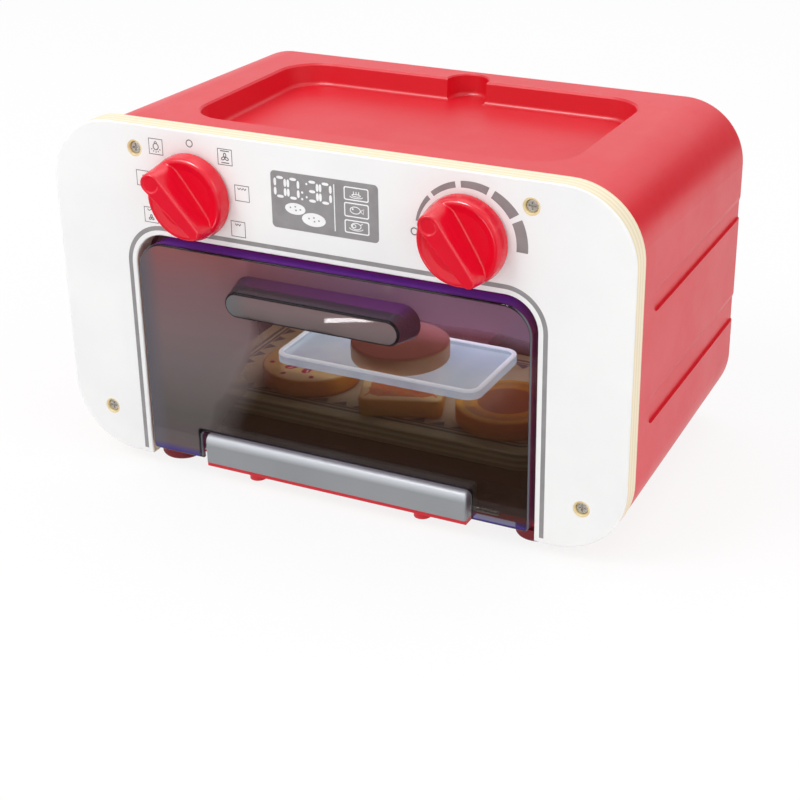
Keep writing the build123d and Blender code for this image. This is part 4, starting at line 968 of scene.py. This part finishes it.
def trayTeeth(look):
    midX, midY = look["mid"]
    halfX, halfY = look["half"][0] - look["toothIn"], look["half"][1] - look["toothIn"]
    teeth = []
    for along, across, sideways in ((halfX, halfY, False), (halfY, halfX, True)):
        count = int((2 * along - look["freeEnds"]) // look["toothPitch"])
        for step in range(count):
            middle = (step - (count - 1) / 2) * look["toothPitch"]
            half = look["toothLength"] / 2
            tip = middle + look["toothLength"] * look["toothTip"]
            for side in (-1, 1):
                flat = [(middle - half, side * across), (middle + half, side * across),
                        (tip, side * (across - look["toothDepth"]))]
                if sideways:
                    flat = [(v, u) for u, v in flat]
                teeth.append([(midX + px, midY + py) for px, py in flat])
    return teeth


trayLines = [shape for inset, width in trayPrint["lines"] for shape in trayFrame(inset, width, trayPrint)]
printFill("tray_border", trayLines, "trayGrey", onTray, trayPrint["level"], "up")
printFill("tray_teeth", trayTeeth(trayPrint), "trayGrey", onTray, trayPrint["level"], "up")

# biscuit prints; the layers lie a hair apart so that each shows
biscuitTop = 41.1
printSkin = 0.03

# eight curled drops, thick outside and pointed towards the middle, each with a dot and a shine
dropsLook = {
    "middle": (-46.0, 62.0), "count": 8, "firstTurn": 12, "dot": (20.4, 6.0, 1.6, 1.4, 14),
    "shine": (13.6, 2.3, 1.9, 0.35, 12), "shineTurn": -2, "shineLift": 0.04,
    "drop": [(5.4, 0.6), (8.0, 2.9), (11.5, 3.9), (14.6, 3.4), (16.4, 1.6), (16.2, -0.5), (14.4, -1.5),
             (11.6, -0.9), (8.6, -0.2)],
}
onDrops = ("drops", "biscuit_drops")
dropShapes, dotShapes, shineShapes = [], [], []
for step in range(dropsLook["count"]):
    turn = 360 // dropsLook["count"] * step + dropsLook["firstTurn"]
    dropShapes.append(turnedPoints(dropsLook["drop"], *dropsLook["middle"], turn))
    dotShapes.append(turnedPoints(roundPoints(*dropsLook["dot"]), *dropsLook["middle"], turn))
    shineTurn = turn + dropsLook["shineTurn"]
    shineShapes.append(turnedPoints(roundPoints(*dropsLook["shine"]), *dropsLook["middle"], shineTurn))
printFill("drops_print", dropShapes + dotShapes, "dropRed", onDrops, biscuitTop, "up")
printFill("drops_shine", shineShapes, "dropShine", onDrops, biscuitTop + dropsLook["shineLift"], "up")

sunLook = {"middle": (70.0, 60.0), "points": 36, "rays": (20.6, 17.6), "rounds": (22.6, 15.2)}
onSun = ("sun", "biscuit_sun")
sunX, sunY = sunLook["middle"]
sunRing = []
for step in range(sunLook["points"]):
    sunRing += turnedPoints([(sunLook["rays"][step % 2], 0)], sunX, sunY, 360 / sunLook["points"] * step)
sunHaze, sunDisc = (roundPoints(sunX, sunY, radius, radius, 48) for radius in sunLook["rounds"])
printFill("sun_haze", [sunHaze], "sunHaze", onSun, biscuitTop, "up", printSkin)
printFill("sun_rays", [sunRing], "sunRing", onSun, biscuitTop + printSkin, "up", printSkin)
printFill("sun_disc", [sunDisc], "sunBrown", onSun, biscuitTop + 2 * printSkin, "up", printSkin)

waffleLook = {
    "place": (12.0, 58.0, 20.0), "toastHalf": 17.0, "toastCorner": 5.0, "bars": 3, "pitch": 7.6,
    "reach": 19.0, "shorter": 0.9, "lean": 0.62, "climb": 0.95, "limit": (19.0, 19.5), "line": 1.1,
}
onWaffle = ("waffle", "biscuit_waffle")
half = waffleLook["toastHalf"]
toast = turnedPoints(boxPoints(-half, half, -half, half, waffleLook["toastCorner"]), *waffleLook["place"])
printFill("waffle_toast", [toast], "toastBrown", onWaffle, biscuitTop, "up", printSkin)
lattice = []
for step in range(-waffleLook["bars"], waffleLook["bars"] + 1):
    reach = waffleLook["reach"] - abs(step) * waffleLook["shorter"]
    for sign in (-1, 1):
        points = []
        for share in (0.0, 0.25, 0.5, 0.75, 1.0):
            px = step * waffleLook["pitch"] + (share - 0.5) * 2 * reach * waffleLook["lean"]
            py = sign * (share - 0.5) * 2 * reach * waffleLook["climb"]
            if abs(px) < waffleLook["limit"][0] and abs(py) < waffleLook["limit"][1]:
                points.append((px, py))
        if len(points) > 1:
            lattice.append((turnedPoints(points, *waffleLook["place"]), False))
latticeLevel = biscuitTop + printSkin
printLines("waffle_lattice", lattice, waffleLook["line"], "latticeOrange", onWaffle, latticeLevel, "up")
print("tray and biscuits done")

# floor, cards, world, lamps and camera
floorLook = {"colours": ((244, 244, 245), (248, 248, 249)), "lift": 0.85, "size": 30, "rough": 0.9}
bpy.ops.mesh.primitive_plane_add(size=floorLook["size"], location=(0, 0, 0))
floor = bpy.context.object
floor.name = "studio_floor"
floorKit = Shader("studioFloor")
floorColour = floorKit.twoTone(floorKit.noise(3.0, 2.0), floorLook["colours"])
floorKit.set(Base_Color=floorColour, Roughness=floorLook["rough"])
lift = floorKit.times(floorKit.directRay(), floorLook["lift"])
white = floorKit.add("Emission")
floorKit.blend(lift, floorKit.main.outputs[0], white.outputs[0], floorKit.output.inputs[0])
floor.data.materials.append(floorKit.material)


def hideFrom(piece, rays):
    for ray in rays:
        setattr(piece, "visible_" + ray, False)


# dark cards that only reflections see: one over the right shoulder, one on the floor in front
cardLooks = {
    "shoulder_card": {"place": (0.66, 1.0, 0.36), "size": 0.65, "flat": False},
    "front_card": {"place": (-0.15, -0.47, 0.002), "size": 0.7, "flat": True},
}
cardKit = Shader("studioCard")
cardKit.set(Base_Color=rgb(16, 14, 15), Roughness=0.9)
for cardName, look in cardLooks.items():
    bpy.ops.mesh.primitive_plane_add(size=look["size"], location=look["place"])
    card = bpy.context.object
    card.name = cardName
    if not look["flat"]:
        card.rotation_euler = Vector(look["place"]).to_track_quat("Z", "Y").to_euler()
    card.data.materials.append(cardKit.material)
    hideFrom(card, ("camera", "diffuse", "shadow", "transmission"))

# the world: soft light all round, plain white where it is seen
worldLook = {"strengths": (0.62, 1.0), "colour": (1.0, 1.0, 1.0, 1.0)}
world = bpy.data.worlds.new("studioWorld")
bpy.context.scene.world = world
world.use_nodes = True
worldKit = NodeKit(world.node_tree)
worldOut = worldKit.add("OutputWorld")
skies = [worldKit.add("Background", {"Color": worldLook["colour"], "Strength": strength}).outputs[0]
         for strength in worldLook["strengths"]]
worldKit.blend(worldKit.directRay(), *skies, worldOut.inputs[0])

# studio lamps, a warm and a violet lamp in the cavity, and two small bright strips that only
# reflections see: on the knobs' rims and on the handle
inCavity = ("camera", "glossy")
mirrorOnly = ("camera", "diffuse", "transmission")
lampLooks = {
    "keyLamp": {"place": (-0.9, -1.1, 1.6), "aim": (0, 0, 0.08), "size": (1.1, 1.1), "power": 17.0},
    "sideLamp": {"place": (1.5, -0.5, 1.0), "aim": (0.05, 0, 0.1), "size": (0.9, 0.9), "power": 6.0},
    "topLamp": {"place": (0.1, 0.7, 1.9), "aim": (0, 0, 0.1), "size": (1.4, 1.4), "power": 8.0},
    "cavityWhite": {"place": spot(0, 100, 121), "size": (0.17, 0.07), "power": 0.07,
                    "colour": (1.0, 0.86, 0.74), "hidden": inCavity},
    "cavityViolet": {"place": spot(10, 100, 62), "size": (0.1, 0.04), "power": 0.015,
                     "colour": (0.6, 0.5, 1.0), "hidden": inCavity},
    "knobSpark": {"place": (-0.22, -0.72, 1.28), "aim": (0, -0.1, 0.12), "size": (0.4, 0.22), "power": 16.0,
                  "hidden": mirrorOnly},
    "handleSpark": {"place": spot(-88.2, -219.5, 10.0), "aim": spot(22.3, -18.0, 108.3),
                    "size": (0.031, 0.0026), "power": 0.03, "hidden": mirrorOnly},
}
for lampName, look in lampLooks.items():
    lamp = bpy.data.lights.new(lampName, "AREA")
    lamp.shape = "RECTANGLE"
    lamp.size, lamp.size_y = look["size"]
    lamp.energy = look["power"]
    lamp.color = look.get("colour", (1.0, 1.0, 1.0))
    holder = bpy.data.objects.new(lampName, lamp)
    bpy.context.scene.collection.objects.link(holder)
    holder.location = look["place"]
    if "aim" in look:
        ray = Vector(look["aim"]) - Vector(look["place"])
        holder.rotation_euler = ray.to_track_quat("-Z", "Y").to_euler()
    hideFrom(holder, look.get("hidden", ()))

cameraLook = {"place": spot(386.916, -683.380, 432.718), "azimuth": 26.990, "elevation": 25.812,
              "roll": 0.988, "lens": 78.477, "sensor": 36.0, "farthest": 50.0}
bpy.ops.object.camera_add(location=cameraLook["place"])
camera = bpy.context.object
camera.name = "studioCamera"
turn = Matrix.Rotation(math.radians(cameraLook["azimuth"]), 4, "Z")
turn = turn @ Matrix.Rotation(math.radians(90 - cameraLook["elevation"]), 4, "X")
turn = turn @ Matrix.Rotation(-math.radians(cameraLook["roll"]), 4, "Z")
camera.matrix_world = Matrix.Translation(cameraLook["place"]) @ turn
camera.data.lens = cameraLook["lens"]
camera.data.sensor_width = cameraLook["sensor"]
camera.data.clip_end = cameraLook["farthest"]
bpy.context.scene.camera = camera
bpy.context.scene.view_settings.view_transform = "Standard"
print("studio done")
